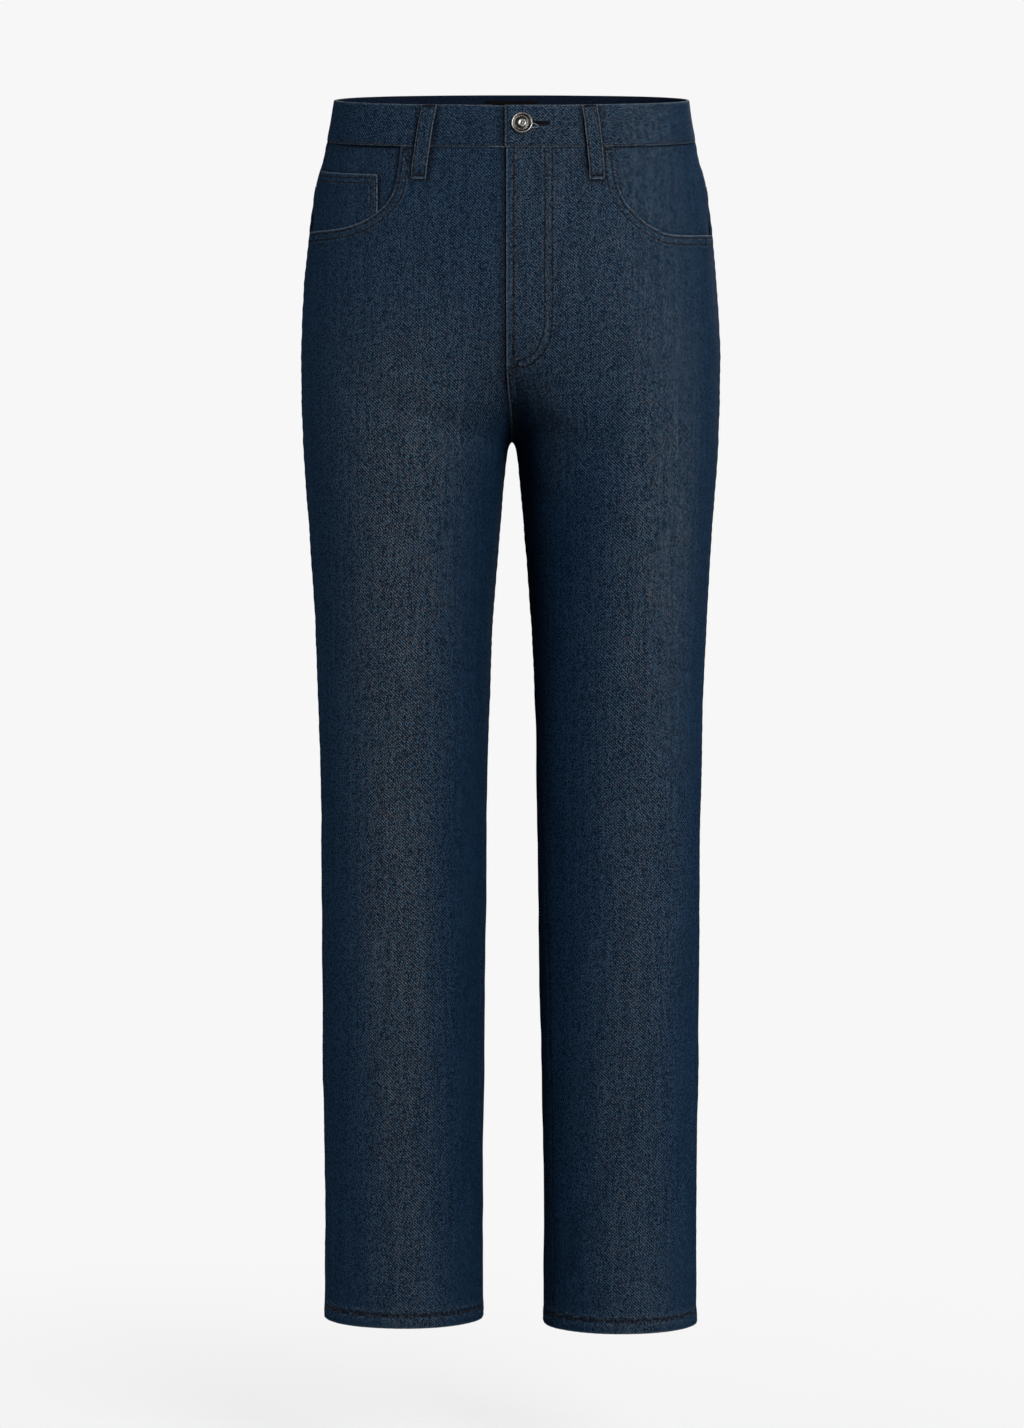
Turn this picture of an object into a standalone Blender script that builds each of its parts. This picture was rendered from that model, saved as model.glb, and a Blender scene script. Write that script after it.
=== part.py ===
"""Straight leg jeans, worn form, every sewn piece a thin closed solid.

Metres, +Z up. The origin is the centre of the waist opening, in the plane of
the waistband's top edge. The front faces -Y and the wearer's left is +X.

One closed skin gives the form of the whole garment. A spot on it is named by
its side (+1 is the wearer's left), its level (height below the waistband's
top edge, measured at the side) and its run: the distance along the level
from the centre front or the inseam, round the outside of the leg. Each piece
is a flat slab laid on that skin, and pieces that lie on a panel are the same
skin moved out or in.
"""
import math
from functools import lru_cache

import bmesh
import bpy
import numpy as np
from mathutils import Matrix, Vector

# Cloth
CLOTH = 0.0012
BAND_CLOTH = 0.0024
HEM_CLOTH = 0.0028
GAP = 0.0003
HALF_GAP = GAP / 2
LAYER_GAP = 0.0006        # under or over a panel, so flat cells stay clear

# Levels, down from the waistband's top edge
BAND_BOTTOM = -0.0340
PANEL_TOP = BAND_BOTTOM - GAP
YOKE_AT_SIDE = -0.070
YOKE_AT_BACK = -0.098
FLY_BOTTOM = -0.2195
CROTCH = -0.281
HEM_FOLD = 0.0125
HEM_STEP = 0.001

# The waist ring leans down to the front by this much of its depth
WAIST_LEAN = 0.116
LEAN_ENDS = -0.28

# Centre front and crotch
CROTCH_ROUND = 0.004
RISE_HEIGHT = 0.120
RISE_START = 1.5
RISE_SLOPE = 0.215
RISE_POWER = 1.5
RISE_END = 0.01
INNER_REACH = 1.25
LEG_CENTRE = (0.0876, 0.0895)
INSEAM = 0.727
INSEAM_SWING = 0.45
FLY_EDGE = 0.0045
UNDERLAP = 0.0060
LAP_STARTS = (FLY_BOTTOM - 0.012, FLY_BOTTOM - 0.002)
DIP_STARTS = (FLY_BOTTOM - 0.026, FLY_BOTTOM - 0.013)
LAP_BLEND = (0.0054, 0.0164)
LAP_COLUMNS = 0.0224
SHIELD_REACH = 0.034
SHIELD_TAPER = 0.35
ZIP_CLOTH = 0.0010
ZIP_REACH = 0.019
ZIP_BOTTOM = -0.200
SHIELD_BOTTOM = -0.208

# Waistband
BAND_OUT = 0.0006
BAND_LAP = 0.0058
BAND_UNDERLAP = 0.032
BAND_BLEND = (0.0066, 0.024)

# Button and buttonhole
BUTTON_ACROSS = 0.0078
BUTTON_LEVEL = -0.0150
BUTTON_RADIUS = 0.0086
SHANK_RADIUS = 0.0021
EYELET_RADIUS = 0.0027
SLIT_LENGTH = 0.0215
SLIT_HEIGHT = 0.0010
CUT_DEPTH = 2 * BAND_CLOTH + GAP
BUTTON_STEPS = 24

# Section of the button's cap: part of the radius, height over its back
CAP_BACK = 0.0006
CAP_SECTION = (
    (0.00, 0.0028),
    (0.22, 0.0026),
    (0.36, 0.0019),
    (0.74, 0.0017),
    (0.84, 0.0023),
    (0.94, 0.0022),
    (1.00, 0.0014),
    (0.98, 0.0004),
    (0.90, 0.0000),
)

# Belt loops
LOOP_HALF_WIDTH = 0.0063
LOOP_TOP = -0.0010
LOOP_BOTTOM = -0.0610
LOOP_CLOTH = 0.0014
LOOP_STANDOFF = 0.0021
LOOP_SEAT = (BAND_BOTTOM + 0.004, BAND_BOTTOM - 0.006)
LOOP_LEAVES = (0.04, 0.26)
LOOP_LANDS = (0.80, 0.95)

# Pockets
FACING_UNDER_FRONT = 0.012
FACING_BOTTOM = -0.128
FACING_LIFT = 0.018
FACING_BLEND = (0.006, 0.022)
COIN_CLOTH = 0.0010
COIN_TOP = -0.0570
COIN_BOTTOM = -0.116
COIN_INNER_EDGE = 0.1095
BACK_POCKET_TOP = -0.111
BACK_POCKET_GAP = 0.0008
BACK_POCKET_FROM_CENTRE = 0.076
BACK_POCKET_HALF_WIDTH = 0.062
BACK_POCKET_FOOT = 0.84
BACK_POCKET_HEIGHT = 0.114
BACK_POCKET_POINT = 0.020
BACK_POCKET_SLANT = 0.010

# Label
LABEL_HALF_WIDTH = 0.022
LABEL_TOP = -0.0045
LABEL_BOTTOM = -0.0300
LABEL_CLOTH = 0.0010

# How far the seams lie to the front of the section's widest line, the hems,
# how much wider than the table one side is below the waistband, and how much
# further one leg stands off the other at the foot
SIDE_SEAM_FORWARD = 0.016
WIDENS = (0.03, -0.10)
OPENS = (-0.60, -0.95)
LEG = {
    -1: {"hem": -1.0070, "inseam_forward": 0.021, "wider": 0.0022, "opens": 0.0000},
    1: {"hem": -1.0115, "inseam_forward": 0.031, "wider": 0.0000, "opens": 0.0020},
}

# One row for each section of the body and the leg, from the waist down
SECTION_COLUMNS = ("level", "outer", "inner", "front", "back", "fullness")
SECTIONS = (
    (0.012, 0.1433, 0.0000, 0.096, 0.099, 2.20),
    (0.000, 0.1448, 0.0000, 0.098, 0.102, 2.20),
    (-0.035, 0.1508, 0.0000, 0.104, 0.109, 2.20),
    (-0.050, 0.1540, 0.0000, 0.106, 0.112, 2.20),
    (-0.064, 0.1582, 0.0000, 0.107, 0.116, 2.20),
    (-0.082, 0.1611, 0.0000, 0.109, 0.120, 2.20),
    (-0.115, 0.1653, 0.0000, 0.110, 0.128, 2.20),
    (-0.164, 0.1695, 0.0000, 0.109, 0.134, 2.20),
    (-0.213, 0.1717, 0.0000, 0.105, 0.133, 2.15),
    (-0.246, 0.1714, 0.0000, 0.1012, 0.1280, 2.12),
    (-0.281, 0.1702, 0.0000, 0.0965, 0.1190, 2.10),
    (-0.285, 0.1700, 0.0028, 0.0959, 0.1179, 2.10),
    (-0.295, 0.1694, 0.0050, 0.0946, 0.1150, 2.10),
    (-0.328, 0.1670, 0.0082, 0.0906, 0.1064, 2.08),
    (-0.361, 0.1646, 0.0106, 0.087, 0.100, 2.06),
    (-0.394, 0.1626, 0.0136, 0.083, 0.094, 2.05),
    (-0.460, 0.1590, 0.0177, 0.077, 0.083, 2.05),
    (-0.560, 0.1563, 0.0202, 0.070, 0.070, 2.05),
    (-0.660, 0.1552, 0.0214, 0.064, 0.064, 2.05),
    (-0.790, 0.1546, 0.0231, 0.059, 0.064, 2.05),
    (-0.900, 0.1533, 0.0242, 0.057, 0.067, 2.05),
    (-1.014, 0.1533, 0.0242, 0.057, 0.067, 2.05),
)

# Mouth of the front pockets: distance across from the centre front, level
SCOOP = {
    -1: (
        (0.0892, PANEL_TOP),
        (0.0912, -0.0520),
        (0.0948, -0.0705),
        (0.1021, -0.0825),
        (0.1128, -0.0920),
        (0.1261, -0.0992),
        (0.1449, -0.1043),
    ),
    1: (
        (0.0815, PANEL_TOP),
        (0.0828, -0.0530),
        (0.0868, -0.0710),
        (0.0949, -0.0850),
        (0.1064, -0.0965),
        (0.1171, -0.1033),
        (0.1314, -0.1083),
    ),
}
SCOOP_AT_SIDE = {-1: -0.1080, 1: -0.1105}

# Front loops: number, side, distance from the centre front at top and bottom
FRONT_LOOPS = (
    (1, -1, 0.0660, 0.0750),
    (2, 1, 0.0620, 0.0682),
)
# Back loops: number, side, distance from the centre back
BACK_LOOPS = ((3, -1, 0.094), (4, 1, 0.094), (5, 1, 0.0))

# Soft creases: face is -1 on the front and +1 on the back, slant in degrees
# up from level towards the outside, fading out at the sides and the centre
CREASE_COLUMNS = ("side", "face", "across", "level", "slant", "reach", "width", "depth")
CREASES = (
    (-1, -1, 0.060, -0.262, 18, 0.060, 0.011, -0.0028),
    (-1, -1, 0.075, -0.236, 28, 0.055, 0.012, 0.0016),
    (-1, -1, 0.070, -0.300, -12, 0.050, 0.012, 0.0014),
    (1, -1, 0.052, -0.284, -24, 0.060, 0.012, -0.0030),
    (1, -1, 0.070, -0.252, 8, 0.055, 0.013, 0.0015),
    (1, -1, 0.075, -0.322, -30, 0.048, 0.012, 0.0013),
    (-1, 1, 0.070, -0.310, -14, 0.060, 0.011, -0.0040),
    (1, 1, 0.074, -0.306, -17, 0.055, 0.011, -0.0044),
    (-1, 1, 0.078, -0.344, -16, 0.060, 0.013, -0.0030),
    (1, 1, 0.072, -0.349, -12, 0.064, 0.013, -0.0026),
    (-1, 1, 0.088, -0.560, 8, 0.055, 0.013, -0.0022),
    (1, 1, 0.086, -0.584, -6, 0.050, 0.014, -0.0024),
    (1, -1, 0.060, -0.900, 66, 0.110, 0.011, -0.0022),
    (-1, -1, 0.066, -0.930, 72, 0.080, 0.011, -0.0012),
)

FADE_AT_SIDE = 0.03
FADE_AT_CENTRE = 0.012

# Rows of the leg panels: heights above the crotch, then parts of the inseam
ROWS_ABOVE_CROTCH = (0.128, 0.108, 0.088, 0.068, 0.050, 0.035, 0.023, 0.013, 0.006, 0.002)
ROWS_DOWN_LEG = (
    0.0, 0.004, 0.012, 0.027, 0.05, 0.085, 0.13, 0.19, 0.26,
    0.34, 0.42, 0.50, 0.58, 0.66, 0.74, 0.82, 0.90, 0.955,
)
FAN_ROWS = 4
FRONT_COLUMNS = 14
BACK_COLUMNS = 11
RING_SAMPLES = 181
WAIST_PIECES = 12
MOUTH_PIECES = 8
NORMAL_STEP = 0.0002

# Cells across and down each smaller piece
CELLS = {
    "yoke": (BACK_COLUMNS, 3),
    "facing": (9, 8),
    "coin": (7, 6),
    "back_pocket": (10, 9),
    "zip": (3, 10),
    "shield": (4, 10),
    "band": (72, 2),
    "loop": (2, 9),
    "label": (6, 2),
}

COLOURS = {
    "denim": (0.018, 0.032, 0.050),
    "denim_dark": (0.012, 0.021, 0.036),
    "thread_tape": (0.010, 0.013, 0.020),
    "label": (0.006, 0.006, 0.010),
    "metal": (0.62, 0.64, 0.68),
}


def smoothstep(low, high, value):
    part = min(max((value - low) / (high - low), 0.0), 1.0)
    return part * part * (3.0 - 2.0 * part)


def mix(a, b, part):
    return a + (b - a) * part


# ---------------------------------------------------------------- the skin

def column(name):
    """A section column against rising level. The inner edge is kept as its
    base, and only from the crotch down."""
    index = SECTION_COLUMNS.index(name)
    rows = [row for row in reversed(SECTIONS) if name != "inner" or row[0] <= CROTCH]
    values = [row[index] for row in rows]
    if name == "inner":
        values = [math.hypot(value, CROTCH_ROUND) for value in values]
    return np.array([row[0] for row in rows]), np.array(values)


def slopes_of(levels, values):
    """Slopes of a monotone curve through the rows, so it never overshoots."""
    steps = np.diff(levels)
    rates = np.diff(values) / steps
    slopes = np.zeros(len(values))
    slopes[0], slopes[-1] = rates[0], rates[-1]
    for i in range(1, len(values) - 1):
        if rates[i - 1] * rates[i] > 0:
            heavy, light = 2 * steps[i] + steps[i - 1], steps[i] + 2 * steps[i - 1]
            slopes[i] = (heavy + light) / (heavy / rates[i - 1] + light / rates[i])
    return slopes


CURVES = {name: (*column(name), slopes_of(*column(name))) for name in SECTION_COLUMNS[1:]}


def section_value(name, level):
    levels, values, slopes = CURVES[name]
    i = int(np.clip(np.searchsorted(levels, level) - 1, 0, len(levels) - 2))
    step = levels[i + 1] - levels[i]
    t = min(max((level - levels[i]) / step, 0.0), 1.0)
    rise = t * t * (3 - 2 * t)
    start = t * (1 - t) * (1 - t) * step * slopes[i]
    end = t * t * (t - 1) * step * slopes[i + 1]
    return mix(values[i], values[i + 1], rise) + start + end


@lru_cache(maxsize=None)
def section(side, level):
    """Centre, half sizes and fullness of one side's section at a level."""
    outer = section_value("outer", level)
    outer += LEG[side]["wider"] * smoothstep(*WIDENS, level)
    front = section_value("front", level)
    back = section_value("back", level)
    inner = section_value("inner", level)
    inner += LEG[side]["opens"] * smoothstep(*OPENS, level)
    centre = mix(*LEG_CENTRE, (CROTCH - level) / INSEAM)
    joined = 1.0
    if level > CROTCH:
        centre = mix(LEG_CENTRE[0], CROTCH_ROUND, smoothstep(CROTCH, PANEL_TOP, level))
        height = min((level - CROTCH) / RISE_HEIGHT, 1.0)
        bend = mix(height ** RISE_START, height, RISE_SLOPE)
        joined = max((1.0 - bend) ** RISE_POWER, RISE_END)
    return {
        "centre": centre,
        "outer_half": outer - centre,
        "inner_half": (centre - inner) / joined,
        "joined": joined,
        "middle": (back - front) / 2,
        "half_depth": (front + back) / 2,
        "fullness": section_value("fullness", level),
    }


def lean(level):
    return WAIST_LEAN * smoothstep(LEAN_ENDS, 0.0, level)


@lru_cache(maxsize=None)
def ring(side, level):
    """Points of a level from the centre front or inseam to the back."""
    s = section(side, level)
    start = math.acos(s["joined"] ** (s["fullness"] / 2))
    angle = np.linspace(start, 2 * math.pi - start, RING_SAMPLES)
    power = 2 / s["fullness"]
    aside = np.sign(np.cos(angle)) * np.abs(np.cos(angle)) ** power
    base = s["centre"] - aside * np.where(aside > 0, s["inner_half"], s["outer_half"])
    y = s["middle"] - s["half_depth"] * np.sign(np.sin(angle)) * np.abs(np.sin(angle)) ** power
    x = np.sqrt(np.maximum(base ** 2 - CROTCH_ROUND ** 2, HALF_GAP ** 2))
    run = np.concatenate(([0.0], np.cumsum(np.hypot(np.diff(x), np.diff(y)))))
    forward = s["middle"] - SIDE_SEAM_FORWARD
    foremost, outside, rearmost = np.argmin(y), np.argmax(x), np.argmax(y)
    seam = float(np.interp(forward, y[foremost:outside + 1], run[foremost:outside + 1]))
    return {
        "x": x, "y": y, "run": run, "outside": int(outside), "seam": seam,
        "front_reach": seam - run[foremost] + INNER_REACH * s["centre"],
        "back_reach": run[rearmost] - seam + INNER_REACH * s["centre"],
    }


def inseam_run(side, level):
    """How far round to the front the inseam lies at a level."""
    down = smoothstep(CROTCH, CROTCH - INSEAM_SWING, level)
    return LEG[side]["inseam_forward"] * down


def side_seam(side, level):
    return ring(side, level)["seam"]


def whole_run(side, level):
    return float(ring(side, level)["run"][-1])


def flat_spot(side, run, level):
    """World x and y of a run on a level, past either end too."""
    points = ring(side, level)
    total = points["run"][-1]
    mirrored = 1.0
    if level > CROTCH:
        if run < -HALF_GAP or run > total + HALF_GAP:
            mirrored = -1.0
            run = -run if run < 0.0 else 2 * total - run
    else:
        run = run % total
    x = np.interp(run, points["run"], points["x"])
    return mirrored * side * float(x), float(np.interp(run, points["run"], points["y"]))


def field(x, y, level):
    """Below zero inside the body, zero on its skin."""
    s = section(1 if x >= 0 else -1, level)
    aside = math.hypot(x, CROTCH_ROUND) - s["centre"]
    half = s["outer_half"] if aside > 0 else max(s["inner_half"], CROTCH_ROUND)
    across = abs(aside / half) ** s["fullness"]
    return across + abs((y - s["middle"]) / s["half_depth"]) ** s["fullness"] - 1.0


def outward(x, y, level):
    """Unit normal of the skin in the world, from the slope of its field."""
    step = NORMAL_STEP
    slope_x = (field(x + step, y, level) - field(x - step, y, level)) / (2 * step)
    slope_y = (field(x, y + step, level) - field(x, y - step, level)) / (2 * step)
    slope_level = (field(x, y, level + step) - field(x, y, level - step)) / (2 * step)
    lean_rate = (lean(level + step) - lean(level - step)) / (2 * step)
    stretch = 1.0 + lean_rate * y
    normal = Vector((slope_x, slope_y - slope_level * lean(level) / stretch, slope_level / stretch))
    return normal.normalized()


def crease(x, y, level):
    """Height of the soft folds at a spot."""
    height = 0.0
    for row in CREASES:
        fold = dict(zip(CREASE_COLUMNS, row))
        middle = section(fold["side"], level)["middle"]
        if fold["side"] * x <= 0 or fold["face"] * (y - middle) <= 0:
            continue
        slant = math.radians(fold["slant"])
        out, up = abs(x) - fold["across"], level - fold["level"]
        along = (out * math.cos(slant) + up * math.sin(slant)) / fold["reach"]
        aside = (up * math.cos(slant) - out * math.sin(slant)) / fold["width"]
        edge = smoothstep(0.0, FADE_AT_SIDE, abs(y - middle))
        edge *= smoothstep(0.0, FADE_AT_CENTRE, abs(x))
        height += fold["depth"] * edge * math.exp(-along ** 2 - aside ** 2)
    return height


def skin(side, run, level, out):
    """World point at a run and level, moved out along the skin's normal."""
    x, y = flat_spot(side, run, level)
    normal = outward(x, y, level)
    point = Vector((x, y, level + lean(level) * y))
    return point + normal * (out + crease(x, y, level))


# ------------------------------------------------------------- the workshop

def clear_scene():
    for item in list(bpy.data.objects):
        bpy.data.objects.remove(item, do_unlink=True)


def new_collection(name):
    collection = bpy.data.collections.new(name)
    bpy.context.scene.collection.children.link(collection)
    return collection


def material(name, kind):
    result = bpy.data.materials.new(name)
    result.use_nodes = True
    shader = result.node_tree.nodes["Principled BSDF"]
    shader.inputs["Base Color"].default_value = (*COLOURS[kind], 1.0)
    shader.inputs["Roughness"].default_value = 0.32 if kind == "metal" else 0.85
    shader.inputs["Metallic"].default_value = 1.0 if kind == "metal" else 0.0
    return result


def add_object(name, mesh, kind):
    item = bpy.data.objects.new(name, mesh)
    PIECES.objects.link(item)
    item.parent = WAIST
    mesh.materials.append(material(name + "_" + kind, kind))
    mesh.shade_smooth()
    mesh.set_sharp_from_angle(angle=math.radians(40))
    return item


def cloth(name, kind, columns, rows, place, wall):
    """A slab of cells laid on the skin.

    place(u, t) gives side, run, level and height of the face, u across and t
    down from 0 to 1, and wall(u, t) the thickness behind it.
    """
    slab = bmesh.new()
    bmesh.ops.create_grid(slab, x_segments=columns, y_segments=rows, size=0.5)
    bmesh.ops.solidify(slab, geom=slab.faces[:], thickness=1.0)
    bmesh.ops.recalc_face_normals(slab, faces=slab.faces)
    for vert in slab.verts:
        u, t, depth = vert.co.x + 0.5, 0.5 - vert.co.y, abs(vert.co.z)
        side, run, level, out = place(u, t)
        vert.co = skin(side, run, level, out - depth * wall(u, t))
    if slab.calc_volume(signed=True) < 0:
        bmesh.ops.reverse_faces(slab, faces=slab.faces)
    mesh = bpy.data.meshes.new(name)
    slab.to_mesh(mesh)
    slab.free()
    return add_object(name, mesh, kind)


def side_name(side):
    return "left" if side > 0 else "right"


def all_over(thickness):
    return lambda _u, _t: thickness


# ------------------------------------------------------------- leg panels

def leg_levels(side):
    """Levels of a panel's rows below the fan, from hip to hem."""
    hem = LEG[side]["hem"]
    levels = [CROTCH + height for height in ROWS_ABOVE_CROTCH]
    levels += [mix(CROTCH, hem, part) for part in ROWS_DOWN_LEG]
    return levels + [hem + HEM_FOLD + HEM_STEP, hem + HEM_FOLD, hem]


def front_edge(side, level):
    """Run of a front panel's centre edge, or of its inseam edge."""
    if level <= CROTCH:
        return HALF_GAP + inseam_run(side, level)
    seam = FLY_EDGE * smoothstep(CROTCH, FLY_BOTTOM, level)
    if side > 0:
        return HALF_GAP * (1.0 if seam < HALF_GAP else 0.0) - max(seam - HALF_GAP, 0.0)
    return mix(seam + HALF_GAP, -UNDERLAP, smoothstep(*LAP_STARTS, level))


def front_height(side, run, level):
    """The right front dips under the lap beside the fly."""
    if side > 0:
        return 0.0
    under = 1.0 - smoothstep(*LAP_BLEND, run)
    return -(CLOTH + GAP) * under * smoothstep(*DIP_STARTS, level)


def run_at(side, level, across):
    """Run on the front where the skin is this far from the centre."""
    points = ring(side, level)
    widest = points["outside"]
    return float(np.interp(across, points["x"][:widest], points["run"][:widest]))


def top_edge(side):
    """Waist seam and pocket mouth as parts of the front's width, and levels."""
    mouth = [(run_at(side, level, across), level) for across, level in SCOOP[side]]
    last = SCOOP_AT_SIDE[side]
    mouth.append((side_seam(side, last) - HALF_GAP, last))
    start = front_edge(side, PANEL_TOP)
    waist = [(mix(start, mouth[0][0], i / WAIST_PIECES), PANEL_TOP) for i in range(WAIST_PIECES)]
    points = waist + smooth_through(mouth, MOUTH_PIECES)
    return [(part_of_front(side, run, level), level, run) for run, level in points]


def smooth_through(points, pieces):
    """A rounded line through points that are a few centimetres apart."""
    padded = [points[0]] + list(points) + [points[-1]]
    line = []
    for i in range(len(points) - 1):
        before, start, end, after = (np.array(padded[i + k]) for k in range(4))
        for k in range(pieces):
            t = k / pieces
            bend = (2 * start + (end - before) * t
                    + (2 * before - 5 * start + 4 * end - after) * t ** 2
                    + (3 * start - before - 3 * end + after) * t ** 3) / 2
            line.append(tuple(bend))
    return line + [tuple(points[-1])]


def part_of_front(side, run, level):
    return (run - front_edge(side, level)) / front_width(side, level)


def spread(part, width, reach):
    """Distance in from the side seam, so that only the columns near the
    centre crowd together where the crotch curve shortens a level."""
    return part * reach + (width - reach) * part ** 4


def front_spread(side, u, width, reach):
    """Distance out from the centre, two narrow columns beside the right fly."""
    lap = 0.0 if side > 0 else LAP_COLUMNS
    narrow = 0.0 if side > 0 else 2 / FRONT_COLUMNS
    if u < narrow:
        return u / narrow * lap
    return width - spread((1 - u) / (1 - narrow), width - lap, reach - lap)


def front_width(side, level):
    return side_seam(side, level) - HALF_GAP - front_edge(side, level)


def front_run(side, level, u):
    width = front_width(side, level)
    reach = ring(side, level)["front_reach"]
    return front_edge(side, level) + front_spread(side, u, width, reach)


def front_panel(side):
    edge = top_edge(side)
    lengths = [0.0]
    for (_, level_a, run_a), (_, level_b, run_b) in zip(edge, edge[1:]):
        lengths.append(lengths[-1] + math.hypot(level_b - level_a, run_b - run_a))
    parts = [point[0] for point in edge]
    levels_along = [point[1] for point in edge]
    corner = lengths[WAIST_PIECES]
    knots = [0.0, round(corner / lengths[-1] * FRONT_COLUMNS) / FRONT_COLUMNS, 1.0]
    marks = [0.0, corner, lengths[-1]]
    if side < 0:
        knots.insert(1, 2 / FRONT_COLUMNS)
        marks.insert(1, LAP_COLUMNS)
    levels = leg_levels(side)
    rows = FAN_ROWS + len(levels)

    def place(u, t):
        row = round(t * rows)
        below = row - FAN_ROWS - 1
        level = levels[max(below, 0)]
        run = front_run(side, level, u)
        if below < 0:
            down = row / (FAN_ROWS + 1)
            along = float(np.interp(u, knots, marks))
            part = mix(float(np.interp(along, lengths, parts)), part_of_front(side, run, level), down)
            level = mix(float(np.interp(along, lengths, levels_along)), level, down)
            run = front_edge(side, level) + part * front_width(side, level)
        return side, run, level, front_height(side, run, level)

    return cloth("front_" + side_name(side), "denim", FRONT_COLUMNS, rows, place, hem_wall(rows))


def hem_wall(rows):
    """Panel thickness with the folded hem in the last rows."""
    def wall(_u, t):
        return HEM_CLOTH if rows - round(t * rows) <= 1 else CLOTH
    return wall


def yoke_level(part):
    """Level of the yoke seam from the side seam (0) to the back seam (1)."""
    return mix(YOKE_AT_SIDE, YOKE_AT_BACK, part)


def back_run(side, level, part):
    """Run on the back, from the side seam (0) to the back seam or inseam (1)."""
    start = side_seam(side, level) + HALF_GAP
    end = whole_run(side, level)
    if level <= CROTCH:
        end += inseam_run(side, level) - HALF_GAP
    return start + spread(part, end - start, ring(side, level)["back_reach"])


def back_panel(side):
    levels = leg_levels(side)
    rows = FAN_ROWS + len(levels)

    def place(u, t):
        row = round(t * rows)
        if row < FAN_ROWS + 1:
            level = mix(yoke_level(u) - GAP, levels[0], row / (FAN_ROWS + 1))
        else:
            level = levels[row - FAN_ROWS - 1]
        return side, back_run(side, level, u), level, 0.0

    return cloth("back_" + side_name(side), "denim", BACK_COLUMNS, rows, place, hem_wall(rows))


def yoke(side):
    def place(u, t):
        level = mix(PANEL_TOP, yoke_level(u), t)
        return side, back_run(side, level, u), level, 0.0

    return cloth("yoke_" + side_name(side), "denim", *CELLS["yoke"], place, all_over(CLOTH))


# ---------------------------------------------------------------- pockets

def lifted(side, run, level):
    """Height of the top layer in a pocket mouth: under the front panel, and
    up to the surface where it is sewn into the side seam."""
    sewn = smoothstep(-FACING_LIFT, -HALF_GAP, run - side_seam(side, level))
    above = smoothstep(*FACING_BLEND, level - SCOOP_AT_SIDE[side])
    return -(CLOTH + LAYER_GAP) * (1.0 - sewn * above)


def pocket_facing(side):
    """Denim behind the pocket mouth, deeper where the coin pocket lies."""
    inside = SCOOP[side][0][0] - FACING_UNDER_FRONT
    deeper = COIN_CLOTH + LAYER_GAP if side < 0 else 0.0

    def place(u, t):
        level = mix(PANEL_TOP, FACING_BOTTOM, t)
        run = mix(run_at(side, level, inside), side_seam(side, level) - HALF_GAP, u)
        return side, run, level, lifted(side, run, level) - deeper

    name = "pocket_facing_" + side_name(side)
    return cloth(name, "denim_dark", *CELLS["facing"], place, all_over(CLOTH))


def coin_pocket():
    def place(u, t):
        level = mix(COIN_TOP, COIN_BOTTOM, t)
        run = mix(run_at(-1, level, COIN_INNER_EDGE), side_seam(-1, level) - GAP, u)
        return -1, run, level, lifted(-1, run, level)

    return cloth("coin_pocket", "denim_dark", *CELLS["coin"], place, all_over(COIN_CLOTH))


def back_pocket(side):
    """Plain patch, narrower at the foot, with a blunt point below."""
    def place(u, t):
        across = 2.0 * u - 1.0
        half_width = BACK_POCKET_HALF_WIDTH * mix(1.0, BACK_POCKET_FOOT, t)
        drop = t * (BACK_POCKET_HEIGHT + BACK_POCKET_POINT * (1.0 - abs(across)))
        level = BACK_POCKET_TOP - drop + BACK_POCKET_SLANT * across * (1.0 - t)
        from_centre = BACK_POCKET_FROM_CENTRE + half_width * across
        run = whole_run(side, level) - from_centre
        return side, run, level, CLOTH + BACK_POCKET_GAP

    name = "back_pocket_" + side_name(side)
    return cloth(name, "denim", *CELLS["back_pocket"], place, all_over(CLOTH))


# ----------------------------------------------------------- fly and waist

def zip_strip():
    height = -2 * CLOTH - GAP - LAYER_GAP

    def place(u, t):
        level = mix(PANEL_TOP, ZIP_BOTTOM, t)
        return 1, mix(-FLY_EDGE, ZIP_REACH, u), level, height

    return cloth("zip", "thread_tape", *CELLS["zip"], place, all_over(ZIP_CLOTH))


def fly_shield():
    height = -2 * CLOTH - GAP - 2 * LAYER_GAP - ZIP_CLOTH

    def place(u, t):
        level = mix(PANEL_TOP, SHIELD_BOTTOM, t)
        reach = SHIELD_REACH * (1.0 - SHIELD_TAPER * t ** 3)
        return 1, mix(-UNDERLAP, reach, u), level, height

    return cloth("fly_shield", "denim_dark", *CELLS["shield"], place, all_over(CLOTH))


def waistband():
    """One strip round the waist, its upper end lapped at the front."""
    right, left = whole_run(-1, BAND_BOTTOM), whole_run(1, BAND_BOTTOM)
    total = BAND_UNDERLAP + right + left + BAND_LAP

    def place(u, t):
        level = mix(0.0, BAND_BOTTOM, t)
        way = u * total - BAND_UNDERLAP
        under = 1.0 - smoothstep(*BAND_BLEND, way)
        height = BAND_OUT - (BAND_CLOTH + GAP) * under
        if way < 0:
            return 1, -way, level, height
        if way <= right:
            return -1, way / right * whole_run(-1, level), level, height
        if way <= right + left:
            return 1, (1 - (way - right) / left) * whole_run(1, level), level, height
        return -1, way - right - left, level, height

    band = cloth("waistband", "denim", *CELLS["band"], place, all_over(BAND_CLOTH))
    cut_buttonhole(band)
    return band


def button_frame():
    """Turn of the button: its own +Z looks out of the waistband."""
    centre = skin(1, BUTTON_ACROSS, BUTTON_LEVEL, BAND_OUT)
    x, y = flat_spot(1, BUTTON_ACROSS, BUTTON_LEVEL)
    out = outward(x, y, BUTTON_LEVEL)
    right = Vector((0, 0, 1)).cross(out).normalized()
    turn = Matrix((right, out.cross(right), out)).transposed().to_4x4()
    return Matrix.Translation(centre) @ turn


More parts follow.
